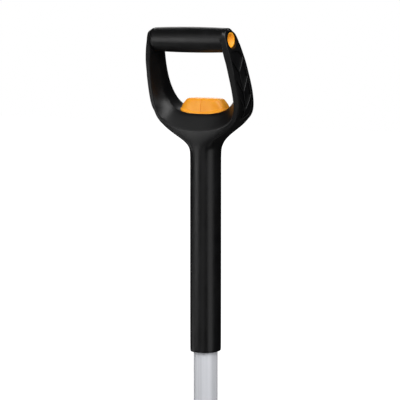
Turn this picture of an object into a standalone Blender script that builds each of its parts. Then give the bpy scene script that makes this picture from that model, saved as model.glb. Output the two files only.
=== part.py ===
"""Telescopic digging shovel with a D handle, a release button in the crotch and a wedge lock.

The shovel hangs upright. +Z runs up the shaft, +X along the grip, and -Y is the front, where the
dish of the blade faces. The origin is the underside of the grip at its middle, where a hook holds it.
"""
import math

import bmesh
import bpy
from mathutils import Matrix, Vector

MM = 0.001
GAP = 0.3 * MM                      # clearance between pieces that touch

# Driving dimensions
TOTAL_LENGTH = 1050 * MM            # grip to blade tip, pushed together
GRIP_RADIUS = 16.9 * MM             # at the middle of the barrel
GRIP_END_RADIUS = 15.4 * MM
GRIP_HALF_LENGTH = 53.8 * MM
STEM_HALF = (18.7 * MM, 21.5 * MM)  # half width across and half depth of the black stem
STEM_BOTTOM = -399.8 * MM
CAVITY_HALF = (16.2 * MM, 19.0 * MM)
TUBE_HALF = (14.4 * MM, 16.5 * MM)
TUBE_WALL = 1.2 * MM
BUTTON_HALF = (34.5 * MM, 14.0 * MM)
BUTTON_POWER = 4.2                  # the button is squarer in plan than the tubes
WEDGE_SLOPE = 0.25                  # shoe travel for each unit of button travel
LIMB_LEAN = 0.31                    # the D leans forward by this much for each unit of height
BLADE_HALF_WIDTH = 108 * MM
BLADE_LENGTH = 315 * MM
BLADE_SHEET = 2.0 * MM
BLADE_TILT = math.radians(5)

# Heights and places that follow from them
BAR_Z = GRIP_RADIUS
TOP_Z = BAR_Z + GRIP_RADIUS
TIP_Z = TOP_Z - TOTAL_LENGTH
LEAN_START_Z = -91 * MM
LEAN_SOFTNESS = 12 * MM
OVAL_POWER = 2.5                    # the tubes are soft cornered ovals

# The grip's core and its end caps
CORE_RADIUS = 9.0 * MM
CORE_BORE = 7.4 * MM
CORE_HALF = 55.2 * MM
CAP_RADIUS = 10.4 * MM
CAP_FACE = 60.4 * MM
EYE_SEAT = 55.6 * MM                # floor of the recess for each cap

# The inside of the handle
POCKET_FLOOR_Z = -93.5 * MM
WELL_RADIUS = 9.5 * MM
WELL_FLOOR_Z = -115 * MM
CAVITY_TOP_Z = -128 * MM
ROD_RADIUS = 3.0 * MM
CARRIER_FLANGE = 12 * MM
TUBE_TOP_Z = -145 * MM
TOP_BUSH_LENGTH = 18 * MM
GUIDE_BUSH_TOP_Z = -364 * MM
WIPER_TOP_Z = -395.5 * MM
YOKE_TOP_Z = -352 * MM
WINDOW_Z = (-406 * MM, -365.5 * MM)
YOKE_BOTTOM_Z = -412 * MM
WEDGE_Z = (-392 * MM, -366 * MM)
WEDGE_TOP_HALF = 4.8 * MM
SHOE_Z = (-405.5 * MM, -366 * MM)
SHOE_FOOT_Z = -399 * MM              # below it the shoe's inner face is upright
SHOE_HALF_WIDTH = 5.9 * MM
BUTTON_BOTTOM_Z = -86 * MM
BUTTON_RIM_Z = -76 * MM
BUTTON_TOP_Z = -60.6 * MM

# The lower end
SOCKET_TOP_Z = -592 * MM
BLADE_TOP_Z = TIP_Z + BLADE_LENGTH * math.cos(BLADE_TILT)
TUBE_BOTTOM_Z = BLADE_TOP_Z + 22 * MM
RIVET_ZS = (-612 * MM, -640 * MM)

# Colour, roughness and metallic value of each finish
BLACK_PLASTIC = ((0.018, 0.018, 0.020), 0.42, 0.0)
BLACK_RUBBER = ((0.014, 0.014, 0.015), 0.65, 0.0)
ORANGE_PLASTIC = ((0.90, 0.36, 0.035), 0.35, 0.0)
SILVER_TUBE = ((0.52, 0.54, 0.56), 0.38, 0.9)
BRIGHT_STEEL = ((0.60, 0.60, 0.60), 0.30, 1.0)
BLACK_STEEL = ((0.022, 0.022, 0.024), 0.50, 0.3)
WHITE_ACETAL = ((0.75, 0.75, 0.72), 0.45, 0.0)


def lean_rise(z):
    """Height above the start of the lean, rounded off where the lean begins."""
    height = z - LEAN_START_Z
    return 0.5 * (height + math.hypot(height, LEAN_SOFTNESS))


SHAFT_Y = LIMB_LEAN * lean_rise(BAR_Z)


def limb_centre_y(z):
    """Middle of the D's depth at a height: it leans forward from the shaft up to the grip."""
    return SHAFT_Y - LIMB_LEAN * lean_rise(z)


def smoothstep(value):
    value = min(max(value, 0.0), 1.0)
    return value * value * (3 - 2 * value)


# Scene helpers

def new_collection(name):
    collection = bpy.data.collections.new(name)
    bpy.context.scene.collection.children.link(collection)
    return collection


def add_object(name, data, collection):
    obj = bpy.data.objects.new(name, data)
    collection.objects.link(obj)
    return obj


def add_bmesh(name, mesh_data, collection):
    """Turn a bmesh into an object with its faces pointing out."""
    bmesh.ops.recalc_face_normals(mesh_data, faces=mesh_data.faces)
    mesh = bpy.data.meshes.new(name)
    mesh_data.to_mesh(mesh)
    mesh_data.free()
    return add_object(name, mesh, collection)


def finish(obj, look, smooth_angle=35):
    """Give a piece its own material and smooth shading up to an angle."""
    colour, roughness, metallic = look
    material = bpy.data.materials.new(obj.name + "_finish")
    material.use_nodes = True
    shader = material.node_tree.nodes["Principled BSDF"]
    shader.inputs["Base Color"].default_value = (*colour, 1)
    shader.inputs["Roughness"].default_value = roughness
    shader.inputs["Metallic"].default_value = metallic
    obj.data.materials.append(material)
    if obj.type == "MESH":
        obj.data.shade_smooth()
        obj.data.set_sharp_from_angle(angle=math.radians(smooth_angle))
    return obj


def make_cutter(obj):
    obj.hide_render = True
    obj.display_type = "WIRE"
    return obj


def cut(obj, cutter, operation="DIFFERENCE"):
    """Boolean with the exact solver."""
    modifier = obj.modifiers.new("cut_" + cutter.name, "BOOLEAN")
    modifier.operation = operation
    modifier.object = cutter
    modifier.solver = "EXACT"
    make_cutter(cutter)
    return obj


def curve_to_mesh(obj, weld=0.00001):
    """Replace a curve by a welded mesh, so that it can be cut or can cut."""
    depsgraph = bpy.context.evaluated_depsgraph_get()
    mesh = bpy.data.meshes.new_from_object(obj.evaluated_get(depsgraph))
    welded = bmesh.new()
    welded.from_mesh(mesh)
    bmesh.ops.remove_doubles(welded, verts=welded.verts, dist=weld)
    bmesh.ops.recalc_face_normals(welded, faces=welded.faces)
    welded.to_mesh(mesh)
    welded.free()
    name, matrix = obj.name, obj.matrix_world.copy()
    collection = obj.users_collection[0]
    bpy.data.objects.remove(obj, do_unlink=True)
    replacement = add_object(name, mesh, collection)
    replacement.matrix_world = matrix
    return replacement


# Shape helpers

def oval(half, power=OVAL_POWER, count=40):
    """Points of a superellipse, from the front (-Y) round by +X."""
    points = []
    for step in range(count):
        angle = 2 * math.pi * step / count
        across, along = math.sin(angle), -math.cos(angle)
        scale = (abs(across) ** power + abs(along) ** power) ** (-1 / power)
        points.append((half[0] * across * scale, half[1] * along * scale))
    return points


def grow(half, amount):
    return (half[0] + amount, half[1] + amount)


def flat_shape(name, outlines, low, high, collection, centre=(0, 0)):
    """A flat outline, with any holes, given its thickness from low to high along Z."""
    curve = bpy.data.curves.new(name, "CURVE")
    curve.dimensions = "2D"
    curve.fill_mode = "BOTH"
    curve.extrude = (high - low) / 2
    for outline in outlines:
        spline = curve.splines.new("POLY")
        spline.points.add(len(outline) - 1)
        for point, (x, y) in zip(spline.points, outline):
            point.co = (x, y, 0, 1)
        spline.use_cyclic_u = True
    obj = add_object(name, curve, collection)
    obj.location = (centre[0], centre[1], (low + high) / 2)
    bpy.context.view_layer.update()
    return curve_to_mesh(obj)


def turned(name, profile, collection, steps=32):
    """A turned solid: (radius, height) points, top to bottom down the outer side."""
    wire = bmesh.new()
    closed = profile[0] == profile[-1]
    corners = profile[:-1] if closed else profile
    points = [wire.verts.new((radius, 0, height)) for radius, height in corners]
    for first, second in zip(points, points[1:]):
        wire.edges.new((first, second))
    if closed:
        wire.edges.new((points[-1], points[0]))
    mesh = bpy.data.meshes.new(name)
    wire.to_mesh(mesh)
    wire.free()
    obj = add_object(name, mesh, collection)
    screw = obj.modifiers.new("turn", "SCREW")
    screw.steps = steps
    screw.render_steps = steps
    screw.use_merge_vertices = True
    screw.merge_threshold = 0.00001
    return obj


def ring_profile(outer, inner, high, low):
    """Closed profile of a turned ring with a bore."""
    return [(inner, high), (outer, high), (outer, low), (inner, low), (inner, high)]


def skin_rings(cage, rings, closed=True):
    """Join neighbouring rings of vertices with quads."""
    for ring, following in zip(rings, rings[1:]):
        count = len(ring)
        for index in range(count if closed else count - 1):
            after = (index + 1) % count
            cage.faces.new((ring[index], ring[after], following[after], following[index]))


def soften(obj, levels):
    modifier = obj.modifiers.new("soften", "SUBSURF")
    modifier.levels = levels
    modifier.render_levels = levels
    return obj


# The fork: one moulding of D limbs, crotch, neck and stem

def limb_sections():
    """Half of the D, from the eye at the grip down round the crotch to the middle.

    Each row has (x, z) of the inner ridge, the front inner edge, the back inner edge, the outer
    front edge and the outer back edge, then the front and back half depth, and how far the ridge
    lies in front of the middle. All are in millimetres.
    """
    return [
        ((54.2, 32.9), (54.2, 30.9), (54.2, 30.9), (59.0, 30.4), (59.0, 30.4), 7.8, 7.8, 0.0),
        ((54.1, 26.6), (54.1, 26.5), (54.1, 26.5), (60.6, 26.2), (60.6, 26.2), 13.2, 13.2, 0.0),
        ((54.1, 13.8), (54.1, 13.8), (54.1, 13.8), (61.6, 13.0), (61.6, 13.0), 17.0, 17.0, 0.0),
        ((55.0, 0.0), (55.6, 0.0), (55.2, 0.0), (66.0, 0.0), (66.0, 0.0), 18.6, 18.6, 0.0),
        ((59.0, -12.0), (59.8, -12.0), (59.2, -12.0), (67.8, -12.0), (67.8, -12.0), 20.2, 20.6, 0.0),
        ((59.6, -28.0), (60.9, -28.0), (59.8, -28.0), (69.0, -28.0), (69.0, -28.0), 20.8, 21.4, 0.0),
        ((58.0, -43.0), (62.0, -44.0), (58.2, -42.0), (69.6, -45.0), (69.6, -45.0), 21.2, 22.0, 1.0),
        ((53.2, -58.0), (61.0, -61.0), (52.8, -56.0), (69.4, -62.0), (69.2, -61.0), 21.2, 21.8, 3.0),
        ((44.0, -68.8), (58.4, -76.0), (43.2, -66.8), (66.0, -78.6), (66.2, -76.5), 21.4, 20.4, 6.0),
        ((31.0, -75.2), (51.0, -89.6), (29.5, -74.0), (58.0, -91.8), (55.5, -87.0), 21.6, 19.8, 9.0),
        ((16.0, -78.6), (33.0, -100.8), (15.0, -78.4), (36.5, -105.0), (30.0, -97.0), 22.4, 20.2, 10.6),
        ((0.0, -79.8), (0.0, -104.0), (0.0, -79.8), (0.0, -109.0), (0.0, -100.0), 23.0, 20.6, 11.0),
    ]


EYE_CREASE = 0.9                     # the eye keeps a crisp edge where it meets the grip
EYE_CROWN = 2.0 * MM                 # how far the outer middle of the eye's top stands above its sides
NECK_START = 8                       # the section from which the neck grows out of the crotch
CREASES = {0: 0.5, 1: 0.7, 2: 0.75, 4: 0.6, 5: 0.5}   # by corner: how sharp its line stays


def fork_cage():
    """Coarse cage of the right half of the fork, open at the middle plane."""
    cage = bmesh.new()
    crease = cage.edges.layers.float.new("crease_edge")

    def vertex(point, offset):
        x, z = point[0] * MM, point[1] * MM
        return cage.verts.new((x, limb_centre_y(z) + offset * MM, z))

    loops = []
    for ridge, front, back, outer_front, outer_back, ahead, behind, shift in limb_sections():
        side = ((outer_front[0] + outer_back[0]) / 2, (outer_front[1] + outer_back[1]) / 2)
        loops.append([vertex(ridge, -shift), vertex(front, -ahead), vertex(outer_front, -ahead),
                      vertex(side, 0.0), vertex(outer_back, behind), vertex(back, behind)])

    loops[0][3].co.z += EYE_CROWN

    for index, (ring, following) in enumerate(zip(loops, loops[1:])):
        for corner in range(6):
            if index >= NECK_START and corner in (2, 3):
                continue
            after = (corner + 1) % 6
            cage.faces.new((ring[corner], ring[after], following[after], following[corner]))
        for corner, sharpness in CREASES.items():
            edge = cage.edges.get((ring[corner], following[corner]))
            fades = index <= 1 or corner == 2 and index >= NECK_START
            edge[crease] = sharpness * (0.3 if fades else 1.0)
            if index <= 1 and corner in (1, 5):
                edge[crease] = EYE_CREASE
    top = loops[0]
    for corner in (1, 5):
        cage.edges.get((top[0], top[corner]))[crease] = EYE_CREASE
    cage.faces.new((top[0], top[1], top[2], top[3]))
    cage.faces.new((top[0], top[3], top[4], top[5]))
    for loop in loops[NECK_START + 1:]:
        cage.verts.remove(loop[3])

    skin_rings(cage, neck_rings(cage, loops), closed=False)
    return cage


def neck_rings(cage, loops):
    """Half rings that lead from the crotch down the neck to the foot of the stem."""
    start = [loop[2] for loop in reversed(loops[NECK_START:])]
    start.append(loops[NECK_START][3])
    start.extend(loop[4] for loop in loops[NECK_START:])
    steps = len(start) - 1
    swell = 1 / (2 / 3 + math.cos(math.pi / steps) / 3)
    stem = oval((STEM_HALF[0] * swell, STEM_HALF[1] * swell), count=2 * steps)[:steps + 1]

    rings = [start]
    stem_start_z = -138 * MM
    for fraction in (0.24, 0.5, 0.76, 1.0):
        inward = smoothstep(fraction / 0.72)
        ring = []
        for vertex, (x, y) in zip(start, stem):
            ring.append(cage.verts.new((
                vertex.co.x + (x - vertex.co.x) * inward,
                vertex.co.y + (y + SHAFT_Y - vertex.co.y) * inward,
                vertex.co.z + (stem_start_z - vertex.co.z) * fraction)))
        rings.append(ring)
    for z, inset in ((STEM_BOTTOM + 6 * MM, 0.0), (STEM_BOTTOM, 0.3 * MM), (STEM_BOTTOM, 5.5 * MM)):
        scale = [(half - inset) / half for half in STEM_HALF]
        rings.append([cage.verts.new((x * scale[0], SHAFT_Y + y * scale[1], z)) for x, y in stem])
    centre = cage.verts.new((0, SHAFT_Y, STEM_BOTTOM))
    last = rings[-1]
    half = len(last) // 2
    for index in range(0, half * 2, 2):
        cage.faces.new((centre, last[index], last[index + 1], last[index + 2]))
    return rings


def outer_face_x(z):
    """Where the outer face of the limb lies at a height, from the sections."""
    rows = [(row[3][1] * MM, row[3][0] * MM) for row in limb_sections()]
    for (high, x_high), (low, x_low) in zip(rows, rows[1:]):
        if low <= z <= high:
            return x_low + (x_high - x_low) * (z - low) / (high - low)
    return rows[0][1]


RIB_APEX_ZS = (-25 * MM, -51 * MM, -75 * MM)      # points of the chevrons on the spine
RIB_RISE = 19 * MM                                # how far an arm climbs to the channel's edge
RIB_WIDTH = 1.8 * MM
CHANNEL_HALF = 15.5 * MM
CHANNEL_TOP_Z = 3 * MM
CHANNEL_BOTTOM_Z = -84 * MM
CHANNEL_DEPTH = 2.2 * MM
SPINE_OFFSET = -2.0 * MM


def channel_cells():
    """Outlines, as (offset from the limb's middle, height), of the hollows between the ribs."""
    half_rib = RIB_WIDTH / 2
    spine = SPINE_OFFSET
    front, back = -CHANNEL_HALF, CHANNEL_HALF
    first = RIB_APEX_ZS[0]
    cells = [[(front + 2 * MM, CHANNEL_TOP_Z - 3 * MM), (spine - 5 * MM, CHANNEL_TOP_Z),
              (spine + 7 * MM, CHANNEL_TOP_Z), (back - 2 * MM, CHANNEL_TOP_Z - 3 * MM),
              (back, first + RIB_RISE + half_rib), (spine, first + 2 * half_rib),
              (front, first + RIB_RISE + half_rib)]]
    lowest = CHANNEL_BOTTOM_Z - RIB_RISE * 0.35
    for apex, next_apex in zip(RIB_APEX_ZS, RIB_APEX_ZS[1:] + (lowest,)):
        for edge, side in ((front, -1), (back, 1)):
            inner = spine + side * half_rib
            rise = RIB_RISE
            if next_apex == lowest:
                rise *= 0.55
                edge -= side * 2.5 * MM
            cells.append([(inner, apex - half_rib), (edge, apex + RIB_RISE - half_rib),
                          (edge, next_apex + rise + 2 * half_rib),
                          (inner, next_apex + 2 * half_rib + 0.6 * MM)])
    return cells


def channel_cutter(side, index, cell, collection):
    """Closed prism for one hollow, its floor following the limb's outer face."""
    prism = bmesh.new()
    walls = []
    for offset in (-CHANNEL_DEPTH, 8 * MM):
        corners = []
        for along, z in cell:
            x = side * (outer_face_x(z) - 0.4 * MM + offset)
            corners.append(prism.verts.new((x, limb_centre_y(z) + along, z)))
        walls.append(corners)
    skin_rings(prism, walls)
    prism.faces.new(walls[0])
    prism.faces.new(walls[1])
    bmesh.ops.triangulate(prism, faces=prism.faces)
    side_name = "right" if side > 0 else "left"
    return add_bmesh(f"channel_cutter_{side_name}_{index + 1}", prism, collection)


def eye_cutter(collection):
    """Stepped bore through both eyes: the core's bore, and a wider recess for each end cap."""
    core, cap, seat, end = CORE_RADIUS + GAP, CAP_RADIUS + GAP, EYE_SEAT, 80 * MM
    profile = [(0, end), (cap, end), (cap, seat), (core, seat),
               (core, -seat), (cap, -seat), (cap, -end), (0, -end)]
    obj = turned("eye_cutter", profile, collection, 32)
    obj.rotation_euler = (0, math.pi / 2, 0)
    obj.location = (0, 0, BAR_Z)
    return obj


def make_fork(parts, cutters):
    """The black moulding, with its cavity, button pocket, eyes and ribbed channels cut out."""
    fork = add_bmesh("handle_fork", fork_cage(), parts)
    mirror = fork.modifiers.new("other_half", "MIRROR")
    mirror.use_clip = True
    mirror.merge_threshold = 0.00001
    soften(fork, 2)
    shaft = (0, SHAFT_Y)
    cavity = flat_shape("cavity_cutter", [oval(CAVITY_HALF)], STEM_BOTTOM - 10 * MM, CAVITY_TOP_Z,
                        cutters, shaft)
    pocket = flat_shape("pocket_cutter", [oval(grow(BUTTON_HALF, GAP), BUTTON_POWER, 32)], POCKET_FLOOR_Z,
                        -50 * MM, cutters, shaft)
    well = turned("well_cutter", [(0, POCKET_FLOOR_Z + 1 * MM), (WELL_RADIUS, POCKET_FLOOR_Z + 1 * MM),
                                  (WELL_RADIUS, WELL_FLOOR_Z), (3.8 * MM, WELL_FLOOR_Z),
                                  (3.8 * MM, CAVITY_TOP_Z - 1 * MM), (0, CAVITY_TOP_Z - 1 * MM)],
                  cutters, 28)
    well.location = (0, SHAFT_Y, 0)
    cut(fork, cavity)
    cut(fork, pocket)
    cut(fork, well)
    for index, x in enumerate(SCREW_XS):
        hole = turned(f"screw_cutter_{index + 1}", screw_hole_profile(), cutters, 16)
        hole.location = (x, SHAFT_Y, 0)
        cut(fork, hole)
    cut(fork, eye_cutter(cutters))
    for side in (-1, 1):
        for index, cell in enumerate(channel_cells()):
            cut(fork, channel_cutter(side, index, cell, cutters))
    return finish(fork, BLACK_PLASTIC, 40)


# The grip

def make_grip(parts):
    """A tube through both eyes, with the barrel shaped grip moulded over it."""
    core = turned("grip_core", ring_profile(CORE_RADIUS, CORE_BORE, CORE_HALF, -CORE_HALF), parts, 28)
    bore = CORE_RADIUS + GAP
    profile = [(bore, GRIP_HALF_LENGTH)]
    rows = 8
    for row in range(rows + 1):
        height = GRIP_HALF_LENGTH * (1 - 2 * row / rows)
        bulge = 1 - (height / GRIP_HALF_LENGTH) ** 2
        profile.append((GRIP_END_RADIUS + (GRIP_RADIUS - GRIP_END_RADIUS) * bulge, height))
    profile += [(bore, -GRIP_HALF_LENGTH), (bore, GRIP_HALF_LENGTH)]
    sleeve = turned("grip_sleeve", profile, parts, 28)
    for obj, look in ((core, BRIGHT_STEEL), (sleeve, BLACK_RUBBER)):
        obj.rotation_euler = (0, math.pi / 2, 0)
        obj.location = (0, 0, BAR_Z)
        finish(obj, look)


def make_end_cap(name, side, parts):
    """Dished plug: a rim round a shallow bowl, and a stub that goes into the grip core."""
    rim, face, seat = CAP_RADIUS, CAP_FACE, EYE_SEAT + GAP
    bowl, bowl_depth, bevel = rim * 0.86, 1.9 * MM, 0.5 * MM
    stub, stub_end = CORE_BORE - 0.4 * MM, EYE_SEAT - 12 * MM
    profile = [(0, face - bowl_depth)]
    steps = 4
    for step in range(1, steps + 1):
        radius = bowl * step / steps
        profile.append((radius, face - bowl_depth * (1 - (radius / bowl) ** 2)))
    profile += [(rim - bevel, face), (rim, face - bevel), (rim, seat), (stub, seat),
                (stub, stub_end), (0, stub_end)]
    cap = turned(name, profile, parts, 28)
    cap.rotation_euler = (0, side * math.pi / 2, 0)
    cap.location = (0, 0, BAR_Z)
    finish(cap, ORANGE_PLASTIC)


# The release button and its rod

def make_button(parts, cutters):
    """Loaf shaped button: skirt in the pocket, small lip, ends that slope in, and a crowned top."""
    half_x, half_y = BUTTON_HALF
    rings = [(BUTTON_BOTTOM_Z, half_x, half_y), (BUTTON_RIM_Z, half_x, half_y),
             (-75.2 * MM, half_x - 0.8 * MM, half_y - 1.2 * MM),
             (-70.6 * MM, half_x - 1.9 * MM, half_y - 1.5 * MM),
             (-63.2 * MM, half_x - 5.0 * MM, half_y - 1.9 * MM),
             (-61.4 * MM, half_x - 6.6 * MM, half_y - 3.0 * MM),
             (BUTTON_TOP_Z, half_x - 10.0 * MM, half_y - 5.6 * MM)]
    body = bmesh.new()
    loops = []
    for z, across, deep in rings:
        loops.append([body.verts.new((x, y, z)) for x, y in oval((across, deep), BUTTON_POWER, 32)])
    skin_rings(body, loops)
    body.faces.new(loops[0])
    crown = body.verts.new((0, 0, BUTTON_TOP_Z + 0.5 * MM))
    for first, second in zip(loops[-1], loops[-1][1:] + loops[-1][:1]):
        body.faces.new((first, second, crown))
    button = add_bmesh("release_button", body, parts)
    button.location = (0, SHAFT_Y, 0)
    boss = turned("boss", [(0, BUTTON_BOTTOM_Z + 1 * MM), (6.4 * MM, BUTTON_BOTTOM_Z + 1 * MM),
                           (6.4 * MM, -92 * MM), (0, -92 * MM)], cutters, 24)
    boss.location = (0, SHAFT_Y, 0)
    cut(button, boss, "UNION")
    bore = turned("button_bore", [(0, -76 * MM), (ROD_RADIUS + GAP, -76 * MM),
                                  (ROD_RADIUS + GAP, -95 * MM), (0, -95 * MM)], cutters, 16)
    bore.location = (0, SHAFT_Y, 0)
    bore.rotation_euler = (0, 0, math.pi / 16)
    cut(button, bore)
    cut(button, pin_hole("button_pin_hole", cutters))
    finish(button, ORANGE_PLASTIC)


PIN_Z = -89 * MM
PIN_RADIUS = 1.2 * MM


def pin_hole(name, cutters):
    """Cross hole along X through the boss and the rod."""
    reach = 12 * MM
    hole = turned(name, [(0, reach), (PIN_RADIUS + GAP, reach), (PIN_RADIUS + GAP, -reach), (0, -reach)],
                  cutters, 12)
    hole.rotation_euler = (0, math.pi / 2, 0)
    hole.location = (0, SHAFT_Y, PIN_Z)
    return hole


def make_push_rod(parts, cutters):
    """Rod from the button down through the carrier to the wedge, pinned to the button's boss."""
    top, bottom = -76.5 * MM, WEDGE_Z[0] - 6.5 * MM
    rod = turned("push_rod", [(0, top), (ROD_RADIUS, top), (ROD_RADIUS, bottom), (0, bottom)], parts, 20)
    rod.location = (0, SHAFT_Y, 0)
    cut(rod, pin_hole("rod_pin_hole", cutters))
    finish(rod, BRIGHT_STEEL)
    reach = 6.2 * MM
    pin = turned("rod_pin", [(0, reach), (PIN_RADIUS, reach), (PIN_RADIUS, -reach), (0, -reach)], parts, 12)
    pin.rotation_euler = (0, math.pi / 2, 0)
    pin.location = (0, SHAFT_Y, PIN_Z)
    finish(pin, BRIGHT_STEEL)


SPRING_RADIUS = 8.0 * MM
SPRING_WIRE = 0.75 * MM
SPRING_TURNS = 6
SPRING_Z = (-113.0 * MM, BUTTON_BOTTOM_Z - GAP)


def make_return_spring(parts):
    """Coil between its seat in the well and the underside of the button."""
    low, high = SPRING_Z[0] + GAP + SPRING_WIRE, SPRING_Z[1] - SPRING_WIRE
    per_turn = 10
    total = SPRING_TURNS * per_turn
    points = []
    for step in range(total + 1):
        angle = 2 * math.pi * step / per_turn
        points.append(Vector((SPRING_RADIUS * math.cos(angle), SPRING_RADIUS * math.sin(angle),
                              low + (high - low) * step / total)))
    gap = min((a - b).length for i, a in enumerate(points) for b in points[i + per_turn // 2:])
    print("return spring least gap between turns, mm:", round((gap - 2 * SPRING_WIRE) / MM, 2))
    curve = bpy.data.curves.new("return_spring", "CURVE")
    curve.dimensions = "3D"
    curve.bevel_depth = SPRING_WIRE
    curve.bevel_resolution = 1
    curve.use_fill_caps = True
    spline = curve.splines.new("POLY")
    spline.points.add(total)
    for point, place in zip(spline.points, points):
        point.co = (*place, 1)
    spring = add_object("return_spring", curve, parts)
    spring.location = (0, SHAFT_Y, 0)
    finish(spring, BRIGHT_STEEL)
    seat = turned("spring_seat", ring_profile(9.1 * MM, 4.0 * MM, SPRING_Z[0], WELL_FLOOR_Z + GAP), parts, 28)
    seat.location = (0, SHAFT_Y, 0)
    finish(seat, BRIGHT_STEEL)


# The lock inside the sliding tube

SCREW_XS = (-12.4 * MM, 12.4 * MM)
SCREW_RADIUS = 1.7 * MM
SCREW_HEAD_RADIUS = 2.6 * MM


def screw_hole_profile():
    wide, narrow = SCREW_HEAD_RADIUS + GAP, SCREW_RADIUS + GAP
    return [(0, POCKET_FLOOR_Z + 1 * MM), (wide, POCKET_FLOOR_Z + 1 * MM), (wide, POCKET_FLOOR_Z - 3 * MM),
            (narrow, POCKET_FLOOR_Z - 3 * MM), (narrow, CAVITY_TOP_Z - 1 * MM), (0, CAVITY_TOP_Z - 1 * MM)]


def make_carrier(parts, cutters):
    """Core of the lock: a flange under the neck, a long tube, and a windowed yoke at its foot."""
    flange_top = CAVITY_TOP_Z - GAP
    flange_bottom = flange_top - CARRIER_FLANGE
    flange = flat_shape("lock_carrier", [oval(grow(CAVITY_HALF, -GAP))], flange_bottom, flange_top,
                        parts, (0, SHAFT_Y))
    tube = turned("carrier_tube", [(0, flange_bottom + 1 * MM), (9 * MM, flange_bottom + 1 * MM),
                                   (9 * MM, YOKE_TOP_Z - 4 * MM), (0, YOKE_TOP_Z - 4 * MM)], cutters, 28)
    tube.location = (0, SHAFT_Y, 0)
    yoke = flat_shape("carrier_yoke", [oval((9.6 * MM, 10.6 * MM), 4.0, 32)], YOKE_BOTTOM_Z, YOKE_TOP_Z,
                      cutters, (0, SHAFT_Y))
    window_half = SHOE_HALF_WIDTH + GAP
    window = box_object("yoke_window", (window_half, 15 * MM, (WINDOW_Z[1] - WINDOW_Z[0]) / 2),
                        (0, SHAFT_Y, (WINDOW_Z[0] + WINDOW_Z[1]) / 2), cutters)
    bore = turned("carrier_bore", [(0, -100 * MM), (ROD_RADIUS + 0.5 * MM, -100 * MM),
                                   (ROD_RADIUS + 0.5 * MM, -420 * MM), (0, -420 * MM)], cutters, 20)
    bore.location = (0, SHAFT_Y, 0)
    cut(flange, tube, "UNION")
    cut(flange, yoke, "UNION")
    cut(flange, window)
    cut(flange, bore)
    screw_depth = flange_bottom + 2 * MM
    for index, x in enumerate(SCREW_XS):
        narrow = SCREW_RADIUS + GAP
        hole = turned(f"carrier_screw_hole_{index + 1}", [(0, -120 * MM), (narrow, -120 * MM),
                                                          (narrow, screw_depth), (0, screw_depth)], cutters, 16)
        hole.location = (x, SHAFT_Y, 0)
        cut(flange, hole)
        head_top = POCKET_FLOOR_Z - 0.8 * MM
        head_low = POCKET_FLOOR_Z - 3 * MM + GAP
        screw = turned(f"carrier_screw_{'left' if x < 0 else 'right'}",
                       [(0, head_top), (SCREW_HEAD_RADIUS, head_top), (SCREW_HEAD_RADIUS, head_low),
                        (SCREW_RADIUS, head_low), (SCREW_RADIUS, screw_depth + GAP),
                        (0, screw_depth + GAP)], parts, 16)
        screw.location = (x, SHAFT_Y, 0)
        finish(screw, BRIGHT_STEEL)
    finish(flange, WHITE_ACETAL)


def box_object(name, half, centre, collection):
    """A box primitive at its real size, with its scale in the mesh."""
    box = bmesh.new()
    bmesh.ops.create_cube(box, size=2)
    bmesh.ops.transform(box, matrix=Matrix.Diagonal((*half, 1)), verts=box.verts)
    obj = add_bmesh(name, box, collection)
    obj.location = centre
    return obj


def side_prism(name, outline, half_width, collection):
    """A (y, z) outline given its width along X."""
    prism = bmesh.new()
    walls = [[prism.verts.new((x, y, z)) for y, z in outline] for x in (-half_width, half_width)]
    skin_rings(prism, walls)
    prism.faces.new(walls[0])
    prism.faces.new(walls[1])
    obj = add_bmesh(name, prism, collection)
    obj.location = (0, SHAFT_Y, 0)
    return obj


def wedge_half(z):
    """Half thickness of the wedge at a height: it widens downwards."""
    return WEDGE_TOP_HALF + WEDGE_SLOPE * (WEDGE_Z[1] - z)


def make_wedge(parts, cutters):
    low, high = WEDGE_Z
    outline = [(-wedge_half(high), high), (wedge_half(high), high), (wedge_half(low), low),
               (-wedge_half(low), low)]
    wedge = side_prism("lock_wedge", outline, SHOE_HALF_WIDTH - GAP, parts)
    bore = turned("wedge_bore", [(0, high + 5 * MM), (ROD_RADIUS + GAP, high + 5 * MM),
                                 (ROD_RADIUS + GAP, low - 5 * MM), (0, low - 5 * MM)], cutters, 20)
    bore.location = (0, SHAFT_Y, 0)
    cut(wedge, bore)
    finish(wedge, BRIGHT_STEEL)
    nut_top = low - GAP
    hexagon = [(4.6 * MM * math.cos(math.pi * k / 3), 4.6 * MM * math.sin(math.pi * k / 3)) for k in range(6)]
    hole = [(x * 0.72, y * 0.72) for x, y in oval((4.6 * MM, 4.6 * MM), 2.0, 20)]
    nut = flat_shape("wedge_nut", [hexagon, hole], nut_top - 4 * MM, nut_top, parts, (0, SHAFT_Y))
    finish(nut, BRIGHT_STEEL)


def make_shoe(name, side, parts, cutters):
    """Brake pad: slanted towards the wedge, and curved like the inside of the tube outside."""
    low, high = SHOE_Z
    slack = GAP * math.hypot(1, WEDGE_SLOPE)
    reach = 20 * MM
    foot = side * (wedge_half(SHOE_FOOT_Z) + slack)
    outline = [(side * (wedge_half(high) + slack), high), (side * reach, high), (side * reach, low),
               (foot, low), (foot, SHOE_FOOT_Z)]
    shoe = side_prism(name, outline, SHOE_HALF_WIDTH, parts)
    bore_wall = flat_shape(name + "_limit", [oval(grow(TUBE_HALF, -TUBE_WALL - GAP), count=64)],
                           low - 10 * MM, high + 10 * MM, cutters, (0, SHAFT_Y))
    cut(shoe, bore_wall, "INTERSECT")
    finish(shoe, BLACK_RUBBER)


# The sliding tube and its bearings

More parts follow.
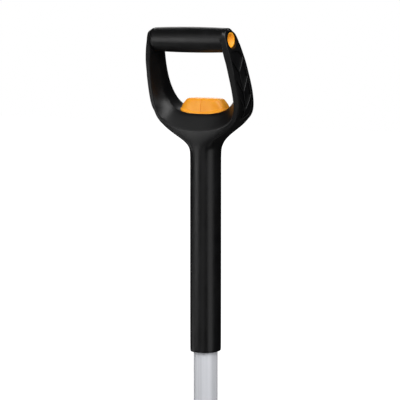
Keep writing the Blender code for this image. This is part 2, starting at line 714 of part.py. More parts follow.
def make_lower_tube(parts, cutters):
    tube = flat_shape("lower_tube", [oval(TUBE_HALF), oval(grow(TUBE_HALF, -TUBE_WALL))],
                      TUBE_BOTTOM_Z, TUBE_TOP_Z, parts, (0, SHAFT_Y))
    for index, z in enumerate(RIVET_ZS):
        cut(tube, rivet_hole(f"tube_rivet_hole_{index + 1}", z, cutters))
    cut(tube, bush_pin_hole("tube_bush_hole", cutters))
    finish(tube, SILVER_TUBE)


BUSH_PIN_Z = TUBE_TOP_Z - TOP_BUSH_LENGTH / 2


def bush_pin_hole(name, cutters):
    radius, reach = 2.0 * MM + GAP, 25 * MM
    hole = turned(name, [(0, reach), (radius, reach), (radius, -reach), (0, -reach)], cutters, 16)
    hole.rotation_euler = (0, math.pi / 2, 0)
    hole.location = (0, SHAFT_Y, BUSH_PIN_Z)
    return hole


def make_bushes(parts, cutters):
    """Bearings: one rides on the top of the tube, one sits in the stem, and a wiper keeps dirt out."""
    inner = grow(TUBE_HALF, GAP)
    outer = grow(CAVITY_HALF, -GAP)
    top = flat_shape("top_bush", [oval(outer), oval(inner)], TUBE_TOP_Z - TOP_BUSH_LENGTH, TUBE_TOP_Z,
                     parts, (0, SHAFT_Y))
    cut(top, bush_pin_hole("bush_pin_hole", cutters))
    finish(top, WHITE_ACETAL)
    for name, side in (("bush_pin_left", -1), ("bush_pin_right", 1)):
        high, low = CAVITY_HALF[0] - 2 * GAP, TUBE_HALF[0] - TUBE_WALL
        pin = turned(name, [(0, high), (2.0 * MM, high), (2.0 * MM, low), (0, low)], parts, 16)
        pin.rotation_euler = (0, side * math.pi / 2, 0)
        pin.location = (0, SHAFT_Y, BUSH_PIN_Z)
        finish(pin, WHITE_ACETAL)
    guide = flat_shape("guide_bush", [oval(outer), oval(inner)], WIPER_TOP_Z + GAP, GUIDE_BUSH_TOP_Z,
                       parts, (0, SHAFT_Y))
    finish(guide, WHITE_ACETAL)
    wiper = flat_shape("wiper_ring", [oval(outer), oval(inner)], STEM_BOTTOM + 0.4 * MM, WIPER_TOP_Z,
                       parts, (0, SHAFT_Y))
    finish(wiper, BLACK_RUBBER)


# The socket, the blade and the treads

RIVET_RADIUS = 2.6 * MM
RIVET_HEAD = 4.8 * MM
SOCKET_HALF = (17.0 * MM, 19.2 * MM)


def rivet_hole(name, z, cutters):
    """Hole along Y for a rivet, through tube or socket."""
    radius, reach = RIVET_RADIUS + GAP, 30 * MM
    hole = turned(name, [(0, reach), (radius, reach), (radius, -reach), (0, -reach)], cutters, 16)
    hole.rotation_euler = (math.pi / 2, 0, 0)
    hole.location = (0, SHAFT_Y, z)
    return hole


def rivet_profile(front_seat, back_seat):
    """Domed heads in front of and behind one shank, as heights along the rivet."""
    head = [(RIVET_HEAD * math.sin(math.radians(a)), 2.0 * MM * math.cos(math.radians(a)))
            for a in (0, 35, 65, 90)]
    profile = [(radius, front_seat + rise) for radius, rise in head]
    profile += [(RIVET_RADIUS, front_seat), (RIVET_RADIUS, -back_seat)]
    return profile + [(radius, -back_seat - rise) for radius, rise in reversed(head)]


def make_rivets(parts):
    """Two rivets through the socket and the tube, and two through the tongue and the blade."""
    seat = SOCKET_HALF[1] + GAP
    for name, z in zip(("socket_rivet_upper", "socket_rivet_lower"), RIVET_ZS):
        rivet = turned(name, rivet_profile(seat, seat), parts, 16)
        rivet.rotation_euler = (math.pi / 2, 0, 0)
        rivet.location = (0, SHAFT_Y, z)
        finish(rivet, BRIGHT_STEEL)
    for name, drop, spot in zip(("blade_rivet_upper", "blade_rivet_lower"), BLADE_RIVET_DROPS, SPOT_FACES):
        rivet = turned(name, rivet_profile(spot + GAP, BLADE_SHEET / 2 + GAP), parts, 16)
        rivet.matrix_world = blade_rivet_matrix(drop)
        finish(rivet, BRIGHT_STEEL)


def blade_matrix():
    """The blade's own frame: origin at the middle of its top edge, tilted forward towards the tip."""
    return Matrix.Translation((0, SHAFT_Y + 7 * MM, BLADE_TOP_Z)) @ Matrix.Rotation(-BLADE_TILT, 4, "X")


BLADE_RIVET_DROPS = (36 * MM, 64 * MM)
SPOT_FACES = (12.7 * MM, 6.7 * MM)  # flats on the tongue under the heads, ahead of the blade's middle


def blade_rivet_matrix(drop):
    """Frame of a blade rivet: its axis square to the blade, its top towards the front."""
    return blade_matrix() @ Matrix.Translation((0, 0, -drop)) @ Matrix.Rotation(math.pi / 2, 4, "X")


def blade_rivet_hole(name, drop, spot, cutters):
    """Hole for a blade rivet, with the flat for its head."""
    wide, narrow, reach = RIVET_HEAD + 0.5 * MM, RIVET_RADIUS + GAP, 30 * MM
    hole = turned(name, [(0, reach), (wide, reach), (wide, spot), (narrow, spot),
                         (narrow, -reach), (0, -reach)], cutters, 20)
    hole.matrix_world = blade_rivet_matrix(drop)
    return hole


LAND_HALF = 17 * MM                 # flat land down the middle of the blade for the socket's tongue
DISH_DEPTH = 22 * MM
TIP_CURVE = 10 * MM


def blade_front(x, drop):
    """How far the blade's middle sheet comes forward at a place on it."""
    side = max(abs(x) - LAND_HALF, 0) / (BLADE_HALF_WIDTH - LAND_HALF)
    late = max(drop / BLADE_LENGTH - 0.45, 0) / 0.55
    return DISH_DEPTH * side ** 1.8 + TIP_CURVE * late ** 2


def blade_half_width(drop):
    """Round point: nearly parallel sides that close to a rounded tip."""
    along = min(max(drop / BLADE_LENGTH, 0), 1)
    flare = 0.955 + 0.045 * math.sin(math.pi * min(along / 0.5, 1))
    return BLADE_HALF_WIDTH * flare * max(1 - along ** 3.3, 0) ** 0.54


def make_blade(parts, cutters):
    """Dished sheet on a grid that follows the outline, then given its thickness."""
    sheet = bmesh.new()
    columns, rows = 18, 16
    grid = []
    for row in range(rows + 1):
        drop = BLADE_LENGTH * (1 - (1 - row / rows) ** 1.25) * 0.9985
        width = blade_half_width(drop)
        line = []
        for column in range(columns + 1):
            x = width * (2 * column / columns - 1)
            line.append(sheet.verts.new((x, -blade_front(x, drop), -drop)))
        grid.append(line)
    skin_rings(sheet, grid, closed=False)
    blade = add_bmesh("blade", sheet, parts)
    wall = blade.modifiers.new("sheet", "SOLIDIFY")
    wall.thickness = BLADE_SHEET
    wall.offset = 0
    blade.matrix_world = blade_matrix()
    for index, (drop, spot) in enumerate(zip(BLADE_RIVET_DROPS, SPOT_FACES)):
        cut(blade, blade_rivet_hole(f"blade_rivet_hole_{index + 1}", drop, spot, cutters))
    finish(blade, BLACK_STEEL, 50)


def make_treads(parts):
    """Foot treads: flat steps that follow the dish along each shoulder."""
    near, far, half_depth, thick = 27 * MM, 97 * MM, 10 * MM, 3 * MM
    low = GAP
    steps = 10
    for name, side in (("tread_left", -1), ("tread_right", 1)):
        front, back = [], []
        for step in range(steps + 1):
            x = near + (far - near) * step / steps
            ends = min(1.0, 0.45 + 1.9 * min(step, steps - step) / steps)
            y = -blade_front(x, 0)
            front.append((side * x, y - half_depth * ends))
            back.append((side * x, y + half_depth * ends))
        tread = flat_shape(name, [front + back[::-1]], low, low + thick, parts)
        tread.matrix_world = blade_matrix() @ tread.matrix_world
        finish(tread, BLACK_STEEL)


def make_socket(parts, cutters):
    """Steel socket: an oval cup for the tube that flattens into a tongue on the blade."""
    rows = [(SOCKET_TOP_Z, 0, *SOCKET_HALF), (SOCKET_TOP_Z - 3 * MM, 0, *SOCKET_HALF),
            (BLADE_TOP_Z + 30 * MM, 0, *SOCKET_HALF), (BLADE_TOP_Z + 8 * MM, -1, 18 * MM, 16 * MM),
            (BLADE_TOP_Z - 14 * MM, -1.5, 19.5 * MM, 11.5 * MM),
            (BLADE_TOP_Z - 40 * MM, -1.5, 17.5 * MM, 8 * MM), (BLADE_TOP_Z - 70 * MM, -1.5, 12 * MM, 4.6 * MM),
            (BLADE_TOP_Z - 86 * MM, -1.6, 6 * MM, 3.2 * MM)]
    shell = bmesh.new()
    loops = []
    for z, forward, across, deep in rows:
        loops.append([shell.verts.new((x, SHAFT_Y + forward * MM + y, z))
                      for x, y in oval((across, deep), count=28)])
    skin_rings(shell, loops)
    shell.faces.new(loops[0])
    shell.faces.new(loops[-1])
    socket = add_bmesh("blade_socket", shell, parts)
    bore = flat_shape("socket_bore", [oval(grow(TUBE_HALF, GAP))], TUBE_BOTTOM_Z - 2 * MM,
                      SOCKET_TOP_Z + 10 * MM, cutters, (0, SHAFT_Y))
    cut(socket, bore)
    depth = 60 * MM
    behind = box_object("blade_plane", (60 * MM, depth / 2, 150 * MM), (0, 0, 0), cutters)
    front_plane = -BLADE_SHEET / 2 - GAP
    behind.matrix_world = blade_matrix() @ Matrix.Translation((0, front_plane + depth / 2, -148 * MM))
    cut(socket, behind)
    for index, z in enumerate(RIVET_ZS):
        cut(socket, rivet_hole(f"socket_rivet_hole_{index + 1}", z, cutters))
    for index, (drop, spot) in enumerate(zip(BLADE_RIVET_DROPS, SPOT_FACES)):
        cut(socket, blade_rivet_hole(f"tongue_rivet_hole_{index + 1}", drop, spot, cutters))
    finish(socket, BLACK_STEEL)


def clear_scene():
    for obj in list(bpy.data.objects):
        bpy.data.objects.remove(obj, do_unlink=True)


def main():
    clear_scene()
    parts = new_collection("telescopic_shovel")
    cutters = new_collection("cutters")
    make_fork(parts, cutters)
    make_grip(parts)
    make_end_cap("end_cap_left", -1, parts)
    make_end_cap("end_cap_right", 1, parts)
    make_button(parts, cutters)
    make_push_rod(parts, cutters)
    make_return_spring(parts)
    make_carrier(parts, cutters)
    make_wedge(parts, cutters)
    make_shoe("brake_shoe_front", -1, parts, cutters)
    make_shoe("brake_shoe_back", 1, parts, cutters)
    make_lower_tube(parts, cutters)
    make_bushes(parts, cutters)
    make_socket(parts, cutters)
    make_rivets(parts)
    make_blade(parts, cutters)
    make_treads(parts)


main()
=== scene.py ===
# %% [markdown]
# A telescopic digging shovel
#
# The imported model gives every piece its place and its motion. This lesson gives the pieces that show
# their finer shapes and their finishes, then sets up the studio. All sizes are in metres. The shovel
# hangs upright: Z runs up the shaft, X along the grip, and -Y is the front, which the blade's dish
# faces.

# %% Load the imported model
import math

import bmesh
import bpy
from mathutils import Matrix, Vector


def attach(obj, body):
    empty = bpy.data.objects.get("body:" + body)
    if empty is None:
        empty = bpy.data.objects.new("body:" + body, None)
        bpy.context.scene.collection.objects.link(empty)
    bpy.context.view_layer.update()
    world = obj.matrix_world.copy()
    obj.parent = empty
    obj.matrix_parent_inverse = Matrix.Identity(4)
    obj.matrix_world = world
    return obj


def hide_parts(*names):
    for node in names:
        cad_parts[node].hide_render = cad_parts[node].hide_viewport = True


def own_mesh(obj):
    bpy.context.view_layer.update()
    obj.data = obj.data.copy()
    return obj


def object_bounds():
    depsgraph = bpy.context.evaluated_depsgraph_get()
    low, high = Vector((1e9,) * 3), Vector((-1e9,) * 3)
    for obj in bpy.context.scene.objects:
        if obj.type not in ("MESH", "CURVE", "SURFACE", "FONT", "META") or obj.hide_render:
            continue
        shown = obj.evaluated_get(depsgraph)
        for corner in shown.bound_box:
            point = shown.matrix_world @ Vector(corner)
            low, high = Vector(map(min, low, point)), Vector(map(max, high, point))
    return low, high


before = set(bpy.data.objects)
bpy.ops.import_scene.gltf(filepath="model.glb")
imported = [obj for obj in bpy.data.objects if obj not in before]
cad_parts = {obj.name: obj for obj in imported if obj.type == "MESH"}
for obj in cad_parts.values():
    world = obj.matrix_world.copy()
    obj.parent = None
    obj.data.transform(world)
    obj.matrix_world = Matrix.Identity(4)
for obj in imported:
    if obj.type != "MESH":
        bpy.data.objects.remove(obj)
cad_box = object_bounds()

MM = 0.001
print("box of the packed model:", [[round(value, 4) for value in corner] for corner in cad_box])

# %% [markdown]
# The camera. The photograph was taken with a long lens, a little above the middle of the handle and
# from its front right, so upright lines stay parallel and the left side of each limb hides behind its
# front. A lens could be guessed by eye, but here the camera's place follows from the picture's scale:
# one pixel covers 1.33 mm on the shaft.

# %% The camera
VIEW_AZIMUTH = math.radians(33)
VIEW_ELEVATION = math.radians(5.5)
VIEW_DISTANCE = 3.0
PIXEL = 1.33 * MM                    # on the shaft, in a picture 400 pixels wide
PICTURE_PIXELS = 400
SHAFT_Y = 33.55 * MM                 # the shaft stands this far behind the grip
AIM_Z = -196.6 * MM                  # height on the shaft at the middle of the picture
AIM_PIXELS_RIGHT = 5.7               # the shaft stands this far right of the picture's middle
SENSOR_WIDTH = 36                    # in mm, as for a full frame camera
FARTHEST = 50                        # the camera sees this far


def direction(azimuth, elevation):
    """Unit vector from the object towards a viewer. Azimuth 0 is the front."""
    flat = math.cos(elevation)
    return Vector((math.sin(azimuth) * flat, -math.cos(azimuth) * flat, math.sin(elevation)))


def aim(obj, target):
    """Turn a camera or a lamp towards a point."""
    obj.rotation_euler = (target - obj.location).to_track_quat("-Z", "Y").to_euler()


def make_camera():
    """A long lens that frames the picture's width on the shaft."""
    toward = direction(VIEW_AZIMUTH, VIEW_ELEVATION)
    right = Vector((math.cos(VIEW_AZIMUTH), math.sin(VIEW_AZIMUTH), 0))
    target = Vector((0, SHAFT_Y, AIM_Z)) - right * AIM_PIXELS_RIGHT * PIXEL
    data = bpy.data.cameras.new("camera")
    data.sensor_width = SENSOR_WIDTH
    data.lens = data.sensor_width * VIEW_DISTANCE / (PICTURE_PIXELS * PIXEL)
    data.clip_end = FARTHEST
    camera = bpy.data.objects.new("camera", data)
    bpy.context.scene.collection.objects.link(camera)
    camera.location = target + toward * VIEW_DISTANCE
    aim(camera, target)
    bpy.context.scene.camera = camera
    return camera


camera = make_camera()
print("lens, mm:", round(camera.data.lens, 1))

# %% [markdown]
# A finish is a set of nodes that feeds one Principled shader. They all start the same way, so one
# helper makes the plain material, one lets a pattern vary its colour and its gloss a little, and one
# adds the fine grain that moulded and coated surfaces have. The patterns are noise on Object
# coordinates, which stay fixed to the piece. The grain could be a picture wrapped round the piece, but
# noise needs no unwrapping and keeps its real size of a few tenths of a millimetre.

# %% Helpers for finishes
NOISE_MIDDLE = (0.3, 0.7)            # nearly all of a noise pattern lies between these values


def new_finish(name, colour, roughness, metallic=0.0):
    """A material with its Principled shader set to a plain colour."""
    material = bpy.data.materials.new(name)
    material.use_nodes = True
    shader = material.node_tree.nodes["Principled BSDF"]
    shader.inputs["Base Color"].default_value = (*colour, 1)
    shader.inputs["Roughness"].default_value = roughness
    shader.inputs["Metallic"].default_value = metallic
    return material, shader


def object_place(material, stretch=(1, 1, 1)):
    """Object coordinates, stretched where a pattern runs one way."""
    nodes, links = material.node_tree.nodes, material.node_tree.links
    place = nodes.new("ShaderNodeTexCoord")
    mapping = nodes.new("ShaderNodeMapping")
    mapping.inputs["Scale"].default_value = stretch
    links.new(place.outputs["Object"], mapping.inputs["Vector"])
    return mapping.outputs["Vector"]


def noise(material, vector, scale, detail=2.0):
    """A noise pattern with this many blobs to the metre."""
    nodes, links = material.node_tree.nodes, material.node_tree.links
    texture = nodes.new("ShaderNodeTexNoise")
    texture.inputs["Scale"].default_value = scale
    texture.inputs["Detail"].default_value = detail
    links.new(vector, texture.inputs["Vector"])
    return texture.outputs["Fac"]


def remapped(tree, value, reach, result):
    """Turn one range of values into another. Past its ends the result stays the same."""
    remap = tree.nodes.new("ShaderNodeMapRange")
    remap.inputs["From Min"].default_value, remap.inputs["From Max"].default_value = reach
    remap.inputs["To Min"].default_value, remap.inputs["To Max"].default_value = result
    tree.links.new(value, remap.inputs["Value"])
    return remap.outputs["Result"]


def worked_out(tree, operation, *values):
    """A Math node. Each value is a number or what another node gives."""
    node = tree.nodes.new("ShaderNodeMath")
    node.operation = operation
    for socket, value in zip(node.inputs, values):
        if isinstance(value, float):
            socket.default_value = value
        else:
            tree.links.new(value, socket)
    return node.outputs["Value"]


def vary(material, shader, pattern, tones, roughness):
    """Let the colour and the roughness go from their first value to their second as a pattern rises."""
    tree = material.node_tree
    mix = tree.nodes.new("ShaderNodeMix")
    mix.data_type = "RGBA"
    mix.inputs["A"].default_value = (*tones[0], 1)
    mix.inputs["B"].default_value = (*tones[1], 1)
    tree.links.new(remapped(tree, pattern, NOISE_MIDDLE, (0.0, 1.0)), mix.inputs["Factor"])
    tree.links.new(mix.outputs["Result"], shader.inputs["Base Color"])
    tree.links.new(remapped(tree, pattern, NOISE_MIDDLE, roughness), shader.inputs["Roughness"])


def raise_grain(material, shader, height, depth, strength):
    """Bump from a pattern, this deep in metres."""
    nodes, links = material.node_tree.nodes, material.node_tree.links
    bump = nodes.new("ShaderNodeBump")
    bump.inputs["Strength"].default_value = strength
    bump.inputs["Distance"].default_value = depth
    links.new(height, bump.inputs["Height"])
    links.new(bump.outputs["Normal"], shader.inputs["Normal"])


# %% [markdown]
# The black moulding is nylon filled with glass fibre. On the real one it is a dark grey black with a
# fine satin skin, and its gloss changes a little where the melt flowed. One flat black would do from
# far away, but it looks painted when it is near. So the finish has a fine grain, slow patches in its
# roughness, and a slight change of tone.

# %% Black moulding


def black_moulding():
    tones = (0.0012, 0.0012, 0.0014), (0.0026, 0.0026, 0.0029)
    material, shader = new_finish("black_moulding", tones[0], 0.38)
    shader.inputs["Specular IOR Level"].default_value = 0.28
    place = object_place(material)
    vary(material, shader, noise(material, place, 45, 3), tones, (0.35, 0.41))
    raise_grain(material, shader, noise(material, place, 1400, 2), 0.05 * MM, 0.35)
    return material


# %% [markdown]
# The grip and the small rubber pieces are softer and duller than the moulding, with a coarser skin. A
# sheen layer could soften them too, but at this size a rougher grain gives the same look with less.

# %% Soft black rubber


def soft_rubber(name, roughness):
    tones = (0.0024, 0.0024, 0.0026), (0.0040, 0.0040, 0.0043)
    material, shader = new_finish(name, tones[0], roughness)
    shader.inputs["Specular IOR Level"].default_value = 0.28
    place = object_place(material)
    vary(material, shader, noise(material, place, 60, 3), tones, (roughness - 0.04, roughness + 0.04))
    raise_grain(material, shader, noise(material, place, 1100, 3), 0.07 * MM, 0.45)
    return material


# %% [markdown]
# The orange button and end caps are polypropylene, coloured right through. Light goes a little way
# into it and softens its shadows. A brighter colour could imitate that, but not at the edges, so the
# finish gets a small amount of subsurface scattering.

# %% Orange plastic


def orange_plastic():
    tones = (0.77, 0.310, 0.018), (0.72, 0.270, 0.014)
    material, shader = new_finish("orange_plastic", tones[0], 0.36)
    shader.inputs["Specular IOR Level"].default_value = 0.25
    shader.inputs["Subsurface Weight"].default_value = 0.12
    shader.inputs["Subsurface Radius"].default_value = (1.0, 0.35, 0.08)
    shader.inputs["Subsurface Scale"].default_value = 1.2 * MM
    place = object_place(material)
    vary(material, shader, noise(material, place, 90, 3), tones, (0.32, 0.40))
    raise_grain(material, shader, noise(material, place, 1600, 2), 0.03 * MM, 0.3)
    return material


# %% [markdown]
# The sliding tube is drawn aluminium with a satin anodised skin. Drawing leaves faint lines along it.
# They could be modelled as grooves, but noise that is stretched along the tube gives such lines for
# no faces at all. The skin spreads light more than bare metal does, so it is only partly metallic.

# %% Anodised tube


def anodised_tube():
    tones = (0.50, 0.51, 0.54), (0.58, 0.59, 0.62)
    material, shader = new_finish("anodised_tube", tones[0], 0.48, 0.15)
    lines = noise(material, object_place(material, (1, 1, 0.004)), 900, 3)
    vary(material, shader, lines, tones, (0.44, 0.54))
    raise_grain(material, shader, lines, 0.02 * MM, 0.25)
    return material


# %% [markdown]
# The blade, its socket and its treads are steel with a baked powder coat. Powder flows out into a
# slight orange peel, a few millimetres from crest to crest, with a very fine texture on top. Two
# layers of noise are added up for one bump, because two bump nodes in a row would cost more time.

# %% Powder coat


def powder_coat(name):
    tones = (0.016, 0.016, 0.017), (0.026, 0.026, 0.028)
    material, shader = new_finish(name, tones[0], 0.46)
    place = object_place(material)
    vary(material, shader, noise(material, place, 25, 4), tones, (0.40, 0.52))
    peel = noise(material, place, 420, 2)
    fine = noise(material, place, 2200, 2)
    peel_and_fine = worked_out(material.node_tree, "MULTIPLY_ADD", fine, 0.4, peel)
    raise_grain(material, shader, peel_and_fine, 0.08 * MM, 0.4)
    return material


# %% [markdown]
# The small metal pieces are zinc plated steel, and the bearings are white acetal, a waxy plastic.
# Most of them are hidden, but each gets a real finish, because the shovel may be shown taken apart.

# %% Plated steel and acetal


def plated_steel():
    tones = (0.50, 0.51, 0.53), (0.64, 0.65, 0.66)
    material, shader = new_finish("plated_steel", tones[0], 0.30, 1.0)
    place = object_place(material)
    vary(material, shader, noise(material, place, 220, 4), tones, (0.24, 0.38))
    raise_grain(material, shader, noise(material, place, 1800, 2), 0.02 * MM, 0.25)
    return material


def white_acetal():
    tones = (0.66, 0.66, 0.62), (0.74, 0.74, 0.70)
    material, shader = new_finish("white_acetal", tones[0], 0.38)
    shader.inputs["Subsurface Weight"].default_value = 0.1
    shader.inputs["Subsurface Scale"].default_value = 1.5 * MM
    vary(material, shader, noise(material, object_place(material), 120, 3), tones, (0.34, 0.44))
    return material


MOULDING = black_moulding()
GRIP_RUBBER = soft_rubber("grip_rubber", 0.37)
SEAL_RUBBER = soft_rubber("seal_rubber", 0.60)
ORANGE = orange_plastic()
TUBE = anodised_tube()
COAT = powder_coat("powder_coat")
PLATED = plated_steel()
ACETAL = white_acetal()
print("finishes:", len(bpy.data.materials))

# %% [markdown]
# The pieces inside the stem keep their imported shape, which is right as it is, and take their finish
# here. They are the lock, the return spring and the bearings. The spring is the only piece that
# changes its shape: it is pressed together with the button, towards its seat.

# %% Finish the inner pieces
INNER_FINISHES = {
    "grip_core": PLATED, "push_rod": PLATED, "rod_pin": PLATED, "return_spring": PLATED,
    "spring_seat": PLATED, "carrier_screw_left": PLATED, "carrier_screw_right": PLATED,
    "lock_wedge": PLATED, "wedge_nut": PLATED, "lock_carrier": ACETAL, "top_bush": ACETAL,
    "bush_pin_left": ACETAL, "bush_pin_right": ACETAL, "guide_bush": ACETAL,
    "brake_shoe_front": SEAL_RUBBER, "brake_shoe_back": SEAL_RUBBER,
}


def set_finish(obj, material):
    obj.data.materials.clear()
    obj.data.materials.append(material)


for node_name, node_finish in INNER_FINISHES.items():
    set_finish(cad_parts[node_name], node_finish)
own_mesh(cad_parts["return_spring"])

# %% [markdown]
# Modelling by hand in code. Each new piece starts from a primitive and is shaped in edit mode. Two
# numbers ride along on every vertex: its slot, which is its place in a ring, and its ring, counted
# from the first. An extrusion copies them, so the code can say where each new vertex goes. The other
# way would be to write out every vertex and face, but then nothing shows how the shape grows.

# %% Helpers that grow a piece
MERGE = 0.01 * MM                    # vertices that lie nearer than this are made one
START_RADIUS = 10 * MM               # any size will do, because every vertex is then put in place


def deselect_everything():
    """Leave edit mode and leave nothing selected."""
    if bpy.context.object and bpy.context.object.mode == "EDIT":
        bpy.ops.object.mode_set(mode="OBJECT")
    bpy.ops.object.select_all(action="DESELECT")


def start_ring(name, points):
    """A circle primitive with one vertex for each point, put in place and left in edit mode."""
    deselect_everything()
    bpy.ops.mesh.primitive_circle_add(vertices=len(points), radius=START_RADIUS)
    piece = bpy.context.object
    piece.name = name
    piece.data.name = name
    bpy.ops.object.mode_set(mode="EDIT")
    mesh = bmesh.from_edit_mesh(piece.data)
    for layer in ("slot", "ring"):
        mesh.verts.layers.int.new(layer)
    slot = mesh.verts.layers.int["slot"]
    for index, vertex in enumerate(mesh.verts):
        vertex[slot] = index
        vertex.co = points[index]
    bmesh.update_edit_mesh(piece.data)
    return piece


def extrude_ring(piece, points):
    """Extrude what is selected, and put each new vertex at the point with its slot's number."""
    bpy.ops.mesh.extrude_region_move()
    mesh = bmesh.from_edit_mesh(piece.data)
    slot, ring = mesh.verts.layers.int["slot"], mesh.verts.layers.int["ring"]
    crease = mesh.edges.layers.float.get("crease_edge")
    for vertex in mesh.verts:
        if vertex.select:
            vertex.co = points[vertex[slot]]
            vertex[ring] += 1
    if crease:
        for edge in mesh.edges:
            if edge.select:
                edge[crease] = 0
    bmesh.update_edit_mesh(piece.data)


def select_vertices(piece, test):
    """Select the vertices whose ring and slot pass a test, and the edges and faces between them."""
    bpy.ops.mesh.select_all(action="DESELECT")
    mesh = bmesh.from_edit_mesh(piece.data)
    slot, ring = mesh.verts.layers.int["slot"], mesh.verts.layers.int["ring"]
    for vertex in mesh.verts:
        vertex.select = test(vertex[ring], vertex[slot])
    mesh.select_flush(True)
    bmesh.update_edit_mesh(piece.data)


def close_up(piece):
    """Merge doubled vertices, turn all faces outwards and leave edit mode."""
    bpy.ops.mesh.select_all(action="SELECT")
    bpy.ops.mesh.remove_doubles(threshold=MERGE)
    bpy.ops.mesh.normals_make_consistent(inside=False)
    bpy.ops.object.mode_set(mode="OBJECT")
    return piece


def grown(name, rings):
    """A solid that grows from one outline through the next, left in edit mode with its end open."""
    piece = start_ring(name, rings[0])
    bpy.ops.mesh.edge_face_add()
    for ring in rings[1:]:
        extrude_ring(piece, ring)
    return piece


def between(name, first, second):
    """A closed solid from one outline to another with as many points."""
    return close_up(grown(name, [first, second]))


def turned(name, profile, centre, axis, steps=64):
    """Spin a closed outline of (radius, distance along the axis) points into a solid."""
    centre, axis = Vector(centre), Vector(axis)
    side = axis.orthogonal().normalized()
    piece = start_ring(name, [centre + side * radius + axis * along for radius, along in profile])
    bpy.ops.mesh.select_all(action="SELECT")
    bpy.ops.mesh.spin(steps=steps, angle=2 * math.pi, center=centre, axis=axis, use_auto_merge=True)
    return close_up(piece)


def cylinder(name, radius, reach, centre, axis, steps=32):
    """A solid from one distance along the axis to another, counted from the centre."""
    start, end = reach
    return turned(name, [(0, start), (radius, start), (radius, end), (0, end)], centre, axis, steps)


def oval(half, z, power=2.5, count=96, centre_y=SHAFT_Y):
    """Points of a soft cornered oval at a height, from the front round by +X."""
    points = []
    for step in range(count):
        angle = 2 * math.pi * step / count
        across, along = math.sin(angle), -math.cos(angle)
        scale = (abs(across) ** power + abs(along) ** power) ** (-1 / power)
        points.append(Vector((half[0] * across * scale, centre_y + half[1] * along * scale, z)))
    return points


def smoothstep(value):
    value = min(max(value, 0.0), 1.0)
    return value * value * (3 - 2 * value)


# %% [markdown]
# A grown piece is then cut, rounded and finished. Holes could be left out of the faces as they grow,
# but a Boolean cuts a hole of any shape where it belongs. A small bevel takes the sharpness off the
# edges, which is what lets them catch light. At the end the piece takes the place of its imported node.

# %% Helpers that cut and finish a piece


def apply_modifiers(piece):
    deselect_everything()
    piece.select_set(True)
    bpy.context.view_layer.objects.active = piece
    for modifier in list(piece.modifiers):
        bpy.ops.object.modifier_apply(modifier=modifier.name)


def cut_away(piece, cutters, operation="DIFFERENCE"):
    """Boolean with each cutter in turn. The cutters are then thrown away."""
    for cutter in cutters:
        boolean = piece.modifiers.new("cut", "BOOLEAN")
        boolean.operation = operation
        boolean.object = cutter
        boolean.solver = "EXACT"
        apply_modifiers(piece)
        bpy.data.objects.remove(cutter, do_unlink=True)


def round_edges(piece, width, segments=2, angle=35):
    """Bevel every edge that is sharper than the angle."""
    bevel = piece.modifiers.new("round_edges", "BEVEL")
    bevel.width = width
    bevel.segments = segments
    bevel.limit_method = "ANGLE"
    bevel.angle_limit = math.radians(angle)
    bevel.use_clamp_overlap = True
    apply_modifiers(piece)


def finish_piece(piece, node, body, finish, angle=40):
    """Put the piece's place in its mesh, smooth it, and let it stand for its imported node."""
    apply_modifiers(piece)
    for helper in ("slot", "ring"):
        if helper in piece.data.attributes:
            piece.data.attributes.remove(piece.data.attributes[helper])
    bpy.ops.object.transform_apply(location=True, rotation=True, scale=True)
    bpy.ops.object.shade_smooth_by_angle(angle=math.radians(angle))
    set_finish(piece, finish)
    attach(piece, body)
    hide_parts(node)
    print(f"{piece.name}: {len(piece.data.polygons)} faces")


# %% [markdown]
# The fork is one moulding: two limbs, the crotch between them, the neck and the stem. It grows the way
# a hand modeller would grow it. A ring of six vertices at one eye is extruded down the limb, round the
# crotch to the middle, section by section. Then the open edge below is extruded down the neck into
# the oval stem. Half of it is modelled, a mirror makes the other half, and a subdivision surface
# rounds the cage, with creases where the real moulding keeps a line. The lines that matter most are
# the ridge inside each limb and the rim that sweeps under the button.

# %% Sections of the fork
LEAN = 0.31                          # the D leans forward by this much for each unit of height
LEAN_START_Z, LEAN_SOFTNESS = -91 * MM, 12 * MM
STEM_HALF = (18.7 * MM, 21.5 * MM)
STEM_TOP_Z, STEM_BOTTOM_Z = -138 * MM, -399.8 * MM
EYE_CREASE = 0.9                     # the eye keeps a crisp edge where it meets the grip
EYE_CROWN = 1.7 * MM                 # the round top of the eye: its middle stands above its sides
NECK_START = 8                       # the section where the neck leaves the limb
EYE_END, SHOULDER_END = 2, 5         # the sections where the softer creases of eye and corner end
# The slots of the six points of a section, the ridge first and then round by the front.
RIDGE, FRONT_INNER, FRONT_OUTER, SIDE, BACK_OUTER, BACK_INNER = range(6)
CREASES = {RIDGE: 0.55, FRONT_INNER: 0.85, FRONT_OUTER: 0.8, BACK_OUTER: 0.6, BACK_INNER: 0.5}
